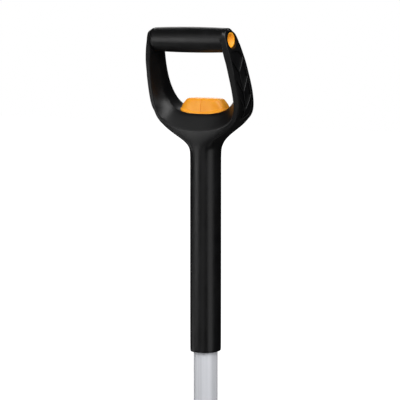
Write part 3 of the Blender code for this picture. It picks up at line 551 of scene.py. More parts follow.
# Each row holds (x, z) of the inner ridge, front inner edge, back inner edge, outer front edge and
# outer back edge, then the depth ahead and behind, and how far the ridge lies forward, in mm.
SECTIONS = [
    ((56.2, 32.3), (56.2, 30.6), (56.2, 30.6), (59.2, 29.6), (59.2, 29.6), 6.6, 7.8, 0.0),
    ((56.2, 26.6), (56.2, 26.5), (56.2, 26.5), (61.0, 26.1), (61.0, 26.1), 13.4, 13.8, 0.0),
    ((56.2, 13.8), (56.2, 13.8), (56.2, 13.8), (62.6, 13.0), (62.2, 13.0), 17.6, 17.8, 0.0),
    ((54.6, 0.0), (56.2, 0.0), (58.0, 0.0), (65.8, 0.0), (64.0, 0.0), 19.4, 19.4, 0.0),
    ((55.6, -12.0), (59.6, -12.0), (60.4, -12.0), (67.8, -12.0), (65.6, -12.0), 21.0, 20.8, 0.0),
    ((57.7, -28.0), (60.8, -28.0), (61.0, -28.0), (68.8, -28.0), (66.8, -28.0), 21.6, 21.4, 0.0),
    ((58.4, -43.0), (62.2, -44.0), (60.0, -42.0), (69.8, -45.0), (68.0, -45.0), 22.0, 22.0, 0.5),
    ((55.0, -58.6), (62.4, -61.5), (55.2, -56.5), (70.4, -62.0), (67.8, -61.0), 22.0, 21.8, 2.5),
    ((45.8, -70.8), (61.4, -76.8), (47.0, -67.2), (68.6, -78.8), (66.0, -76.5), 22.0, 20.4, 6.0),
    ((37.0, -76.8), (53.8, -91.6), (32.5, -75.2), (61.0, -92.6), (58.4, -87.0), 22.2, 19.8, 8.2),
    ((20.0, -80.4), (33.6, -101.6), (15.0, -79.6), (34.8, -104.6), (24.5, -95.6), 22.6, 20.2, 11.0),
    ((0.0, -80.8), (0.0, -105.4), (0.0, -80.6), (0.0, -110.0), (0.0, -100.5), 23.2, 20.6, 11.8),
]
FRONT_SLOPES = (0.4, 0.8, 1.4, 2.0, 2.5, 2.5, 2.5, 2.5, 2.2, 1.2, 0.0, 0.0)   # mm, outwards and back
EYE_FADE, SHOULDER_FADE = 0.8, 0.6   # softer creases at the eye, and on the corner below it
RIM_CREASE, NECK_FADE = 0.62, 0.3    # on the rim below the button, and on the line below that


def limb_centre_y(z):
    """Middle of the D's depth at a height."""
    height = z - LEAN_START_Z
    return SHAFT_Y - LEAN * 0.5 * (height + math.hypot(height, LEAN_SOFTNESS))


def section_points(row, front_slope):
    """The six cage points of one section, in the order of their slots."""
    ridge, front, back, outer_front, outer_back, ahead, behind, shift = row
    side = ((outer_front[0] + outer_back[0]) / 2, (outer_front[1] + outer_back[1]) / 2)
    corners = [(ridge, -shift), (front, -ahead), (outer_front, front_slope - ahead), (side, 0),
               (outer_back, behind), (back, behind)]
    return [Vector((x * MM, limb_centre_y(z * MM) + offset * MM, z * MM)) for (x, z), offset in corners]


LIMB_RINGS = [section_points(row, slope) for row, slope in zip(SECTIONS, FRONT_SLOPES)]
LIMB_RINGS[0][SIDE].z += EYE_CROWN
print("sections of the limb:", len(LIMB_RINGS))

# %% [markdown]
# The limb and half of the crotch are one tube with six sides. The extrusions could be placed by hand
# with move and scale, but the sections above hold the shape better. The underside of the crotch then
# loses its wall, because the neck grows from there, and the eye's end gets its face.

# %% Grow one limb and the crotch


def grow_limb():
    fork = start_ring("fork_moulding", LIMB_RINGS[0])
    for points in LIMB_RINGS[1:]:
        extrude_ring(fork, points)
    select_vertices(fork, lambda ring, slot: ring > NECK_START and slot == SIDE)
    bpy.ops.mesh.delete(type="VERT")
    select_vertices(fork, lambda ring, slot: ring == 0)
    bpy.ops.mesh.edge_face_add()
    select_vertices(fork, lambda ring, slot: ring == 0 and slot in (RIDGE, SIDE))
    bpy.ops.mesh.vert_connect_path()
    return fork


def crease_lines(fork):
    """Keep a line along each creased slot, fading at the eye and where the neck begins."""
    mesh = bmesh.from_edit_mesh(fork.data)
    crease = mesh.edges.layers.float.new("crease_edge")
    slot, ring = mesh.verts.layers.int["slot"], mesh.verts.layers.int["ring"]
    for edge in mesh.edges:
        first, second = edge.verts
        corner = first[slot]
        start, end = sorted((first[ring], second[ring]))
        if corner == second[slot] and corner in CREASES and start != end:
            edge[crease] = CREASES[corner] * (EYE_FADE if start < EYE_END else 1.0)
            if start < SHOULDER_END and corner == FRONT_OUTER:
                edge[crease] *= SHOULDER_FADE
            if start >= NECK_START and corner == FRONT_OUTER:
                edge[crease] = NECK_FADE * CREASES[FRONT_OUTER]
            if start >= NECK_START and corner == FRONT_INNER:
                edge[crease] = RIM_CREASE
        slots = {first[slot], second[slot]}
        if slots <= {RIDGE, FRONT_INNER, BACK_INNER} and slots != {RIDGE} and end <= EYE_END:
            edge[crease] = EYE_CREASE
    bmesh.update_edit_mesh(fork.data)


fork = grow_limb()
crease_lines(fork)
print("cage of one limb:", len(LIMB_RINGS) * 6, "points")

# %% [markdown]
# The neck starts as the open edge under the crotch. A hand modeller would extrude that edge and scale
# it into shape. Here it is extruded in four steps, and each step brings its points nearer to the
# stem's oval, quickly at first, so that the neck has a waist.

# %% Grow the neck and the stem
NECK_STEPS = (0.24, 0.5, 0.76, 1.0)  # how far down the neck each extrusion ends
NECK_HOLLOW = 0.72                   # this far down, the neck is already as narrow as the stem
STEM_SECTIONS = [(-260 * MM, 0), (STEM_BOTTOM_Z + 5 * MM, 0), (STEM_BOTTOM_Z + 1 * MM, 0.2 * MM),
                 (STEM_BOTTOM_Z, 2.0 * MM)]             # height, and how much smaller the oval is


def number_neck_edge(fork):
    """Give the open edge below the crotch new slots, from the middle front round to the back."""
    last = len(LIMB_RINGS) - 1
    mesh = bmesh.from_edit_mesh(fork.data)
    slot, ring = mesh.verts.layers.int["slot"], mesh.verts.layers.int["ring"]
    bpy.ops.mesh.select_all(action="DESELECT")
    start = {}
    for vertex in mesh.verts:
        if vertex[ring] >= NECK_START and vertex[slot] == FRONT_OUTER:
            start[vertex] = last - vertex[ring]
        elif vertex[ring] == NECK_START and vertex[slot] == SIDE:
            start[vertex] = last - NECK_START + 1
        elif vertex[ring] >= NECK_START and vertex[slot] == BACK_OUTER:
            start[vertex] = vertex[ring] - NECK_START + last - NECK_START + 2
    for vertex, number in start.items():
        vertex[slot] = number
        vertex.select = True
    mesh.select_flush(True)
    bmesh.update_edit_mesh(fork.data)
    return [vertex.co.copy() for vertex, number in sorted(start.items(), key=lambda pair: pair[1])]


def grow_neck(fork):
    """Extrude the edge down into half of the stem's oval, then down the stem to its rim."""
    edge = number_neck_edge(fork)
    steps = len(edge) - 1
    swell = 1 / (2 / 3 + math.cos(math.pi / steps) / 3)     # a cage shrinks as it is rounded
    half = (STEM_HALF[0] * swell, STEM_HALF[1] * swell)
    stem = oval(half, STEM_TOP_Z, count=2 * steps)[:steps + 1]
    for fraction in NECK_STEPS:
        inward = smoothstep(fraction / NECK_HOLLOW)
        ring = []
        for above, below in zip(edge, stem):
            place = above.lerp(below, inward)
            place.z = above.z + (below.z - above.z) * fraction
            ring.append(place)
        extrude_ring(fork, ring)
    for z, smaller in STEM_SECTIONS:
        across, deep = ((size - smaller) / size for size in STEM_HALF)
        extrude_ring(fork, [Vector((point.x * across, SHAFT_Y + (point.y - SHAFT_Y) * deep, z))
                            for point in stem])
    bpy.ops.mesh.edge_face_add()


grow_neck(fork)
close_up(fork)
mirror = fork.modifiers.new("other_half", "MIRROR")
mirror.use_clip = True
mirror.merge_threshold = MERGE
rounded = fork.modifiers.new("rounded", "SUBSURF")
rounded.levels = rounded.render_levels = 3
apply_modifiers(fork)
print("rounded fork:", len(fork.data.polygons), "faces")

# %% [markdown]
# Now the fork's hollows. In a mould they are solid cores, and the melt flows round them. Here too each
# is a closed solid, taken away by a Boolean: the cavity up the stem, the button's pocket with its
# well, the two screw holes, and the stepped bore through both eyes. They could be extruded inwards
# from the cage, but there the rounding would blur them, and these fits have to be exact.

# %% Hollow the fork
GAP = 0.3 * MM
CAVITY_HALF = (16.2 * MM, 19.0 * MM)
CAVITY_TOP_Z = -128 * MM
BUTTON_HALF = (35.6 * MM, 14.4 * MM)
BUTTON_Y = SHAFT_Y - 0.3 * MM
BUTTON_POWER = 3.8                   # the button is squarer than the tubes
POCKET_FLOOR_Z, POCKET_TOP_Z = -93.5 * MM, -50 * MM
WELL_RADIUS, WELL_FLOOR_Z = 9.5 * MM, -115 * MM
ROD_HOLE_RADIUS = 3.8 * MM
SCREW_XS = (-12.4 * MM, 12.4 * MM)
SCREW_HEAD_HOLE, SCREW_HOLE, SCREW_HEAD_DEPTH = 2.9 * MM, 2.0 * MM, 3 * MM
BAR_Z = 16.9 * MM
EYE_BORE, EYE_RECESS, EYE_SEAT = 9.3 * MM, 10.7 * MM, 57.1 * MM
EYE_OUTSIDE = 80 * MM                # past the outer faces of both eyes
PAST = 1 * MM                        # a cutter reaches this much past the face that it goes through
DOWN, ALONG_X = (0, 0, -1), (1, 0, 0)


def stepped_hole(name, x, radii, depths, steps):
    """A hole down from above the pocket's floor, wide and then narrow."""
    (wide, narrow), (shoulder, end) = radii, depths
    profile = [(0, -PAST), (wide, -PAST), (wide, shoulder), (narrow, shoulder), (narrow, end), (0, end)]
    return turned(name, profile, (x, SHAFT_Y, POCKET_FLOOR_Z), DOWN, steps)


def hollow_cutters():
    through = POCKET_FLOOR_Z - CAVITY_TOP_Z + PAST
    cavity = between("cavity", oval(CAVITY_HALF, STEM_BOTTOM_Z - 10 * PAST),
                     oval(CAVITY_HALF, CAVITY_TOP_Z))
    pocket_half = (BUTTON_HALF[0] + GAP, BUTTON_HALF[1] + GAP)
    pocket = between("pocket", oval(pocket_half, POCKET_FLOOR_Z, BUTTON_POWER, centre_y=BUTTON_Y),
                     oval(pocket_half, POCKET_TOP_Z, BUTTON_POWER, centre_y=BUTTON_Y))
    well_depth = POCKET_FLOOR_Z - WELL_FLOOR_Z
    well = stepped_hole("well", 0, (WELL_RADIUS, ROD_HOLE_RADIUS), (well_depth, through), 48)
    holes = [stepped_hole("screw_hole", x, (SCREW_HEAD_HOLE, SCREW_HOLE), (SCREW_HEAD_DEPTH, through), 24)
             for x in SCREW_XS]
    right_half = [(0, EYE_OUTSIDE), (EYE_RECESS, EYE_OUTSIDE), (EYE_RECESS, EYE_SEAT),
                  (EYE_BORE, EYE_SEAT)]
    left_half = [(radius, -along) for radius, along in reversed(right_half)]
    bore = turned("eye_bore", right_half + left_half, (0, 0, BAR_Z), ALONG_X, 72)
    return [cavity, pocket, well, *holes, bore]


cut_away(fork, hollow_cutters())
print("hollowed fork:", len(fork.data.polygons), "faces")

# %% [markdown]
# The outer face of each limb is a shallow channel with chevron ribs on a spine, which keeps the wall
# thin where the moulding is widest. The ribs are what is left standing between seven hollows, so each
# hollow is cut on its own. Straight cutters would run out of the curved limb or dig into it. So each
# one is drawn as a flat solid, cut into small pieces, and laid on the limb's outer face, which gives
# its floor an even depth. It widens near the surface, which leaves a chamfer along every rib.

# %% Cut the ribbed channels
RIB_POINTS = (-25 * MM, -51 * MM, -75 * MM)  # heights where the chevrons meet the spine
RIB_RISE = 19 * MM                   # from the spine to the ends of a chevron
HALF_RIB = 0.9 * MM
SPINE_FILL = 0.6 * MM                # thickens the corner over each rib where it meets the spine
CHANNEL_HALF = 15.5 * MM
CHANNEL_TOP_Z, CHANNEL_LOW_Z = 3 * MM, -90.65 * MM
CHANNEL_DEPTH = 2.2 * MM
LOWEST_RISE, LOWEST_WIDTH = 0.45, 0.72   # the two lowest hollows flatten and taper into the crotch
ARCH_STEPS, ARCH_POWER = 12, 0.8     # the top hollow's arch is a little fuller than an ellipse
CHAMFER = 0.5 * MM                   # along the edges of the ribs
SPINE = -2 * MM                      # the spine lies a little ahead of the middle
CUT_STEP = 2.5 * MM                  # a hollow is cut this finely to follow the face
MITRE_LIMIT = 0.4                    # keeps a sharp corner from running far out as it is widened


def outer_face_x(fork, side, y, z):
    """How far out a ray from the side meets the limb's outer face."""
    place = fork.ray_cast((side * 2 * EYE_OUTSIDE, y, z), (-side, 0, 0))[1]
    return abs(place.x)


def widened(outline, amount):
    """An outline with every side moved outwards by the same amount."""
    points = [Vector(point) for point in outline]
    area = sum(first.cross(second) for first, second in zip(points, points[1:] + points[:1]))
    moved = []
    for before, point, after in zip(points[-1:] + points[:-1], points, points[1:] + points[:1]):
        into, out = (point - before).normalized(), (after - point).normalized()
        outward = Vector((into.y + out.y, -into.x - out.x)) * (1 if area > 0 else -1)
        moved.append(point + outward.normalized() * amount / max(outward.length / 2, MITRE_LIMIT))
    return moved


def arch(base):
    """Corners of the top hollow's arch, from the front of its base over the top to the back."""
    corners = []
    for step in range(ARCH_STEPS + 1):
        angle = math.pi * step / ARCH_STEPS
        along = math.copysign(abs(math.cos(angle)) ** ARCH_POWER, -math.cos(angle))
        z = base + (CHANNEL_TOP_Z - base) * math.sin(angle) ** ARCH_POWER
        corners.append((CHANNEL_HALF * along, z))
    return corners


def hollow_outlines():
    """(distance behind the limb's middle, height) of the corners of each hollow."""
    outlines = [arch(RIB_POINTS[0] + RIB_RISE + HALF_RIB) + [(SPINE, RIB_POINTS[0] + 2 * HALF_RIB)]]
    for point, following in zip(RIB_POINTS, RIB_POINTS[1:] + (CHANNEL_LOW_Z,)):
        lowest = following == CHANNEL_LOW_Z
        rise, width = (LOWEST_RISE * RIB_RISE, LOWEST_WIDTH) if lowest else (RIB_RISE, 1.0)
        for side in (-1, 1):
            near, edge = SPINE + side * HALF_RIB, side * CHANNEL_HALF
            outlines.append([(near, point - HALF_RIB), (edge, point + RIB_RISE - HALF_RIB),
                             (edge * width, following + rise + 2 * HALF_RIB),
                             (near, following + 2 * HALF_RIB + SPINE_FILL)])
    return outlines


def hollow_solid(fork, side, outline):
    """A flat solid of one hollow, cut into small pieces and laid on the curve of the limb's face."""
    over = 3 * CHAMFER               # the solid ends this far above the face
    levels = (-CHANNEL_DEPTH, 0), (-CHAMFER, 0), (over, over + CHAMFER)
    rings = [[Vector((height, along, z)) for along, z in widened(outline, amount)]
             for height, amount in levels]
    solid = grown("hollow", rings)
    for axis in (Vector((0, 1, 0)), Vector((0, 0, 1))):
        reach = sorted(point.dot(axis) for point in rings[-1])
        for number in range(math.ceil(reach[0] / CUT_STEP), math.ceil(reach[-1] / CUT_STEP)):
            bpy.ops.mesh.select_all(action="SELECT")
            bpy.ops.mesh.bisect(plane_co=axis * number * CUT_STEP, plane_no=axis)
    bpy.ops.mesh.select_all(action="SELECT")
    bpy.ops.mesh.quads_convert_to_tris()
    mesh = bmesh.from_edit_mesh(solid.data)
    for vertex in mesh.verts:
        height, y = vertex.co.x, limb_centre_y(vertex.co.z) + vertex.co.y
        vertex.co = (side * (outer_face_x(fork, side, y, vertex.co.z) + height), y, vertex.co.z)
    bmesh.update_edit_mesh(solid.data)
    return close_up(solid)


HOLLOWS = hollow_outlines()
bpy.context.view_layer.update()
cut_away(fork, [hollow_solid(fork, side, outline) for side in (-1, 1) for outline in HOLLOWS])
finish_piece(fork, "handle_fork", "handle", MOULDING, 24)

# %% [markdown]
# The grip is a soft barrel moulded over a steel core. It is thickest in the middle, where the palm
# closes round it, so its outline is a slow curve. A piece like this is turned: its outline is spun
# round its axis. The outline closes through the bore, so the barrel is a real sleeve.

# %% Turn the grip
GRIP_HALF_LENGTH = 56.1 * MM
GRIP_MIDDLE, GRIP_END = 16.9 * MM, 15.8 * MM    # radii
GRIP_ROUNDING, GRIP_ROWS = 0.3 * MM, 28


def grip_outline():
    """The bore's edge, a rounded corner, the barrel's curve, and the same corner at the other end."""
    barrel = []
    for row in range(GRIP_ROWS + 1):
        along = (GRIP_HALF_LENGTH - GRIP_ROUNDING) * (1 - 2 * row / GRIP_ROWS)
        bulge = 1 - (along / GRIP_HALF_LENGTH) ** 2
        barrel.append((GRIP_END + (GRIP_MIDDLE - GRIP_END) * bulge, along))
    near = 0.3 * GRIP_ROUNDING       # the middle of the rounding lies this far in from both sides
    end = [(EYE_BORE, GRIP_HALF_LENGTH), (GRIP_END - GRIP_ROUNDING, GRIP_HALF_LENGTH),
           (GRIP_END - near, GRIP_HALF_LENGTH - near)]
    return end + barrel + [(radius, -along) for radius, along in reversed(end)]


grip = turned("grip_barrel", grip_outline(), (0, 0, BAR_Z), ALONG_X, 96)
finish_piece(grip, "grip_sleeve", "handle", GRIP_RUBBER)

# %% [markdown]
# Each end of the grip is closed by an orange plug. Its face is a bowl inside a low rounded rim, so it
# mirrors the lamps as a bright ring round a darker middle. It could be a cylinder with its face inset
# and pushed in, but a turned outline gives the bowl its curve. It is turned once for each end, with
# its stub inside the core.

# %% Turn the end caps
CAP_RADIUS, CAP_FACE = 10.4 * MM, 59.8 * MM
STUB_RADIUS, STUB_LENGTH = 7.0 * MM, 12 * MM
BOWL_RADIUS, BOWL_DEPTH, BOWL_STEPS = 0.82 * CAP_RADIUS, 4.5 * MM, 10
RIM_BACK, RIM_RISE = 0.2 * MM, 0.25  # how far back the rim starts, and its rise for its half width


def cap_outline():
    start = CAP_FACE - RIM_BACK
    outline = []
    for step in range(BOWL_STEPS + 1):
        radius = BOWL_RADIUS * step / BOWL_STEPS
        outline.append((radius, start - BOWL_DEPTH * (1 - (radius / BOWL_RADIUS) ** 2)))
    middle, reach = (CAP_RADIUS + BOWL_RADIUS) / 2, (CAP_RADIUS - BOWL_RADIUS) / 2
    for turn in range(30, 181, 30):
        swing = math.radians(turn)
        outline.append((middle - reach * math.cos(swing), start + reach * RIM_RISE * math.sin(swing)))
    seat, end = EYE_SEAT + GAP, EYE_SEAT - STUB_LENGTH
    return outline + [(CAP_RADIUS, seat), (STUB_RADIUS, seat), (STUB_RADIUS, end), (0, end)]


for cap_name, side in (("end_cap_left", -1), ("end_cap_right", 1)):
    cap = turned(cap_name + "_dish", cap_outline(), (0, 0, BAR_Z), (side, 0, 0), 72)
    finish_piece(cap, cap_name, "handle", ORANGE)

# %% [markdown]
# The button is a loaf: an upright skirt that runs in the pocket, a thin lip that follows the saddle of
# the crotch, a flat front that leans back a little, and ends that slope in to a softly crowned top. A
# rounded block would be quicker, but it has no lip and no slopes. So the button grows upwards as one
# stack of rings. The two halves of its mould leave a fine groove down its front and over its top, and
# a boss underneath takes the rod and its cross pin.

# %% Grow the button
# Each row: height, how far the outline lies inside the skirt, across and in depth, in mm, and how much
# of the saddle's rise the row takes.
BUTTON_ROWS = [(-86.0, 0.6, 0.6, 0), (-85.4, 0.0, 0.0, 0), (-81.4, 0.0, 0.0, 1), (-80.5, 0.0, 0.0, 1),
               (-80.25, 0.1, 0.1, 1), (-79.15, 1.15, 1.15, 1), (-78.9, 1.35, 1.35, 1),
               (-78.0, 1.55, 1.45, 0.95), (-74.0, 2.3, 1.6, 0.6), (-69.2, 4.1, 1.9, 0.25),
               (-65.6, 6.5, 2.3, 0.08), (-63.4, 8.2, 2.6, 0.0), (-62.3, 9.3, 3.0, 0.0),
               (-61.5, 10.6, 3.8, 0.0), (-61.0, 12.2, 5.0, 0.0), (-60.6, 15.5, 7.2, 0.0),
               (-60.35, 20.0, 9.6, 0.0), (-60.2, 26.0, 12.2, 0.0)]
SADDLE_RISE = 6.0 * MM               # from the middle of the button to its ends
BUTTON_POINTS = 128                  # in each ring
BUTTON_FRONT = BUTTON_Y - BUTTON_HALF[1]
BUTTON_LOW_Z = BUTTON_ROWS[0][0] * MM
BOSS_RADIUS, BOSS_DROP, BOSS_ROOT = 6.4 * MM, 6 * MM, -2 * MM   # its root lies inside the button
ROD_BORE, PIN_BORE = 3.3 * MM, 1.5 * MM
PIN_Z = -89 * MM
SEAM_X, SEAM_WIDTH, SEAM_DEPTH = 0.6 * MM, 0.8 * MM, 0.5 * MM
SEAM_LEFT, SEAM_RIGHT = SEAM_X - SEAM_WIDTH / 2, SEAM_X + SEAM_WIDTH / 2
SEAM_LOW_MM = -78                    # the groove starts at this row, above the lip
SEAM_TOP_Z, SEAM_LENGTH = -61.1 * MM, 28 * MM   # on top: its floor, and from the front to the back
OVER_BUTTON_Z = -58 * MM


def block(name, low, high):
    """A closed box between two corners."""
    corners = [Vector((x, y, low[2])) for x, y in ((low[0], low[1]), (high[0], low[1]),
                                                   (high[0], high[1]), (low[0], high[1]))]
    rise = Vector((0, 0, high[2] - low[2]))
    return between(name, corners, [corner + rise for corner in corners])


def grow_button():
    rings = []
    for z, across, deep, share in BUTTON_ROWS:
        half = (BUTTON_HALF[0] - across * MM, BUTTON_HALF[1] - deep * MM)
        ring = oval(half, z * MM, BUTTON_POWER, BUTTON_POINTS, BUTTON_Y)
        for point in ring:
            point.z += share * SADDLE_RISE * (point.x / BUTTON_HALF[0]) ** 2
        rings.append(ring)
    return close_up(grown("button_loaf", rings))


def seam_slab():
    """A slab that cuts the groove. Its inner edge follows the button's front, a little inside it."""
    face = [(BUTTON_FRONT + deep * MM + SEAM_DEPTH, z * MM - SEAM_DEPTH)
            for z, across, deep, share in BUTTON_ROWS if z >= SEAM_LOW_MM]
    ahead = BUTTON_FRONT - 2 * PAST
    outline = [(ahead, face[0][1]), *face, (face[-1][0], OVER_BUTTON_Z), (ahead, OVER_BUTTON_Z)]
    return between("front_seam", *([Vector((x, y, z)) for y, z in outline]
                                   for x in (SEAM_LEFT, SEAM_RIGHT)))


def top_slab():
    near = BUTTON_FRONT + 2 * SEAM_DEPTH
    far = near + SEAM_LENGTH
    return block("top_seam", (SEAM_LEFT, near, SEAM_TOP_Z), (SEAM_RIGHT, far, OVER_BUTTON_Z))


button = grow_button()
under = (0, SHAFT_Y, BUTTON_LOW_Z)
boss = cylinder("boss", BOSS_RADIUS, (BOSS_ROOT, BOSS_DROP), under, DOWN, 48)
cut_away(button, [boss], "UNION")
rod_bore = cylinder("rod_bore", ROD_BORE, (-10 * MM, 10 * MM), under, DOWN)
pin_bore = cylinder("pin_bore", PIN_BORE, (-9 * MM, 9 * MM), (0, SHAFT_Y, PIN_Z), ALONG_X, 24)
cut_away(button, [rod_bore, pin_bore, seam_slab(), top_slab()])
finish_piece(button, "release_button", "release", ORANGE, 30)

# %% [markdown]
# The sliding tube is a drawn oval tube with a thin wall. Its outline is extruded for its whole length,
# a second solid takes out the bore, and its ends lose their sharp edge. A solidify modifier could make
# the wall too, but with two solids the bore keeps its own size and its clean ends. The holes take the
# rivets of the socket and the pins of the tube's top bearing.

# %% Draw the sliding tube
TUBE_HALF, TUBE_WALL = (14.4 * MM, 16.5 * MM), 1.2 * MM
TUBE_TOP_Z, TUBE_ROUNDING = -145 * MM, 0.25 * MM
BLADE_TILT = math.radians(5)
BLADE_LENGTH = 315 * MM
TIP_Z = -1016.2 * MM
BLADE_TOP_Z = TIP_Z + BLADE_LENGTH * math.cos(BLADE_TILT)
TUBE_BOTTOM_Z = BLADE_TOP_Z + 22 * MM
RIVET_ZS = (-612 * MM, -640 * MM)
RIVET_HOLE, BUSH_PIN_HOLE = 2.9 * MM, 2.3 * MM
BUSH_PIN_Z = TUBE_TOP_Z - 9 * MM
THROUGH = (-30 * MM, 30 * MM)        # the reach of a drill that goes through the whole shaft
FORWARD = (0, -1, 0)


def inset(half, amount):
    return (half[0] - amount, half[1] - amount)


def rivet_drills(name):
    """Two drills for the rivets that hold the socket to the tube."""
    return [cylinder(name, RIVET_HOLE, THROUGH, (0, SHAFT_Y, z), FORWARD) for z in RIVET_ZS]


tube = between("drawn_tube", oval(TUBE_HALF, TUBE_BOTTOM_Z), oval(TUBE_HALF, TUBE_TOP_Z))
tube_bore = between("tube_bore", oval(inset(TUBE_HALF, TUBE_WALL), TUBE_BOTTOM_Z - 5 * MM),
                    oval(inset(TUBE_HALF, TUBE_WALL), TUBE_TOP_Z + 5 * MM))
pin_drill = cylinder("tube_pin_hole", BUSH_PIN_HOLE, THROUGH, (0, SHAFT_Y, BUSH_PIN_Z), ALONG_X)
cut_away(tube, [tube_bore, *rivet_drills("tube_rivet_hole"), pin_drill])
round_edges(tube, TUBE_ROUNDING)
finish_piece(tube, "lower_tube", "lower_shaft", TUBE)

# %% [markdown]
# The wiper is a ring of rubber pressed into the stem's mouth. Its lip thins towards the tube, so that
# it scrapes dirt off as the tube slides in. Because it is oval it can't be turned, so its outline
# isn't spun but grows as ovals, out and back in again, until the last ring meets the first.

# %% Mould the wiper
WIPER_TOP_Z = -395.5 * MM
STEM_MOUTH_Z = -399.4 * MM


def ring_of_ovals(name, rows):
    """A closed ring whose cross section runs through rows of (half across, half deep, height)."""
    rings = [oval(half, z) for half, z in rows]
    ring = start_ring(name, rings[0])
    for points in rings[1:] + rings[:1]:
        extrude_ring(ring, points)
    return close_up(ring)


def wiper_rows():
    """From the top of the outside down to the mouth, and up again along the lip."""
    outer, lip = inset(CAVITY_HALF, GAP), inset(TUBE_HALF, -GAP)
    return [(outer, WIPER_TOP_Z), (outer, STEM_MOUTH_Z + 0.3 * MM),
            (inset(outer, 0.3 * MM), STEM_MOUTH_Z), (inset(lip, -0.6 * MM), STEM_MOUTH_Z),
            (inset(lip, -0.15 * MM), STEM_MOUTH_Z + 0.2 * MM), (lip, STEM_MOUTH_Z + 0.6 * MM),
            (lip, STEM_MOUTH_Z + 1.2 * MM), (inset(lip, -0.5 * MM), WIPER_TOP_Z)]


wiper = ring_of_ovals("wiper_lip", wiper_rows())
finish_piece(wiper, "wiper_ring", "handle", SEAL_RUBBER)

# %% [markdown]
# The socket is forged: an oval cup for the tube that flattens into a tongue on the front of the blade.
# A cylinder could be squashed towards its end with a lattice, but a stack of ovals gives each height
# its own width and depth, and a subdivision surface rounds it. Then the cup is bored, the back of the
# tongue is planed parallel to the blade, and small flats are milled for the rivet heads.

# %% Forge the socket
SOCKET_TOP_Z, SOCKET_ROUNDING = -592 * MM, 0.35 * MM
SOCKET_HALF = (17.0 * MM, 19.2 * MM)
SOCKET_POINTS = 40                   # in each oval of the cage
SHEET = 2.0 * MM
BLADE_FRAME = (Matrix.Translation((0, SHAFT_Y + 7 * MM, BLADE_TOP_Z))
               @ Matrix.Rotation(-BLADE_TILT, 4, "X"))
BLADE_RIVETS = ((36 * MM, 12.7 * MM), (64 * MM, 6.7 * MM))   # how far down, and the flat's distance
RIVET_HEAD, HEAD_ROOM = 4.8 * MM, 0.5 * MM
# Each row: height under the socket's top in mm, and the size of the oval. The first two make its lip.
CUP_ROWS = [(0.0, 0.86), (0.0, 0.99), (1.2, 1.0), (20.0, 1.0)]
# Each row: height over the blade's top, how far behind the shaft, half width and half depth, in mm.
SOCKET_ROWS = [(30.0, 0.0, 17.0, 19.2), (8.0, -1.0, 18.0, 16.0), (-14.0, -1.5, 19.5, 11.5),
               (-40.0, -1.5, 17.5, 8.0), (-70.0, -1.5, 12.0, 4.6), (-84.0, -1.6, 7.6, 3.4),
               (-86.0, -1.6, 4.4, 2.2)]


def socket_rings():
    rings = []
    for down, scale in CUP_ROWS:
        half = (SOCKET_HALF[0] * scale, SOCKET_HALF[1] * scale)
        rings.append(oval(half, SOCKET_TOP_Z - down * MM, count=SOCKET_POINTS))
    for up, behind, across, deep in SOCKET_ROWS:
        rings.append(oval((across * MM, deep * MM), BLADE_TOP_Z + up * MM, count=SOCKET_POINTS,
                          centre_y=SHAFT_Y + behind * MM))
    return rings


def in_blade_frame(piece):
    """Carry a piece from the blade's own frame to where the blade is."""
    piece.data.transform(BLADE_FRAME)
    return piece


def blade_rivet_hole(drop, flat):
    """A hole square to the blade, widened in front for the rivet's head."""
    (back, front), head = THROUGH, RIVET_HEAD + HEAD_ROOM
    profile = [(0, front), (head, front), (head, flat), (RIVET_HOLE, flat), (RIVET_HOLE, back),
               (0, back)]
    return in_blade_frame(turned("blade_rivet_hole", profile, (0, 0, -drop), FORWARD, 40))


def blade_drills():
    return [blade_rivet_hole(drop, flat) for drop, flat in BLADE_RIVETS]


socket = close_up(grown("forged_socket", socket_rings()))
smooth = socket.modifiers.new("smooth", "SUBSURF")
smooth.levels = smooth.render_levels = 2
apply_modifiers(socket)
cup = between("cup", oval(inset(TUBE_HALF, -GAP), TUBE_BOTTOM_Z - 2 * MM),
              oval(inset(TUBE_HALF, -GAP), SOCKET_TOP_Z + 10 * MM))
cleared = ((-60 * MM, -SHEET / 2 - GAP, -300 * MM), (60 * MM, 60 * MM, 2 * MM))
plane = in_blade_frame(block("plane", *cleared))
cut_away(socket, [cup, plane, *rivet_drills("socket_rivet_hole"), *blade_drills()])
round_edges(socket, SOCKET_ROUNDING)
finish_piece(socket, "blade_socket", "lower_shaft", COAT)

# %% [markdown]
# Each rivet has one shank and two domed heads. Copies of one rivet would do if all were as long, but
# these differ, so each is turned from its own outline.

# %% Turn the rivets
RIVET_RADIUS = 2.6 * MM
DOME, DOME_FOOT, HEAD_CHAMFER = 2.0 * MM, 0.25 * MM, 0.2 * MM


def rivet_outline(front_seat, back_seat):
    """Outline from the front head's middle to the back head's middle."""
    head = [(RIVET_HEAD * math.sin(math.radians(angle)), DOME * math.cos(math.radians(angle)))
            for angle in range(0, 91, 10)]
    front = [(radius, front_seat + DOME_FOOT + rise) for radius, rise in head]
    shank = [(RIVET_HEAD - HEAD_CHAMFER, front_seat), (RIVET_RADIUS, front_seat),
             (RIVET_RADIUS, -back_seat), (RIVET_HEAD - HEAD_CHAMFER, -back_seat)]
    return front + shank + [(radius, -back_seat - DOME_FOOT - rise) for radius, rise in reversed(head)]


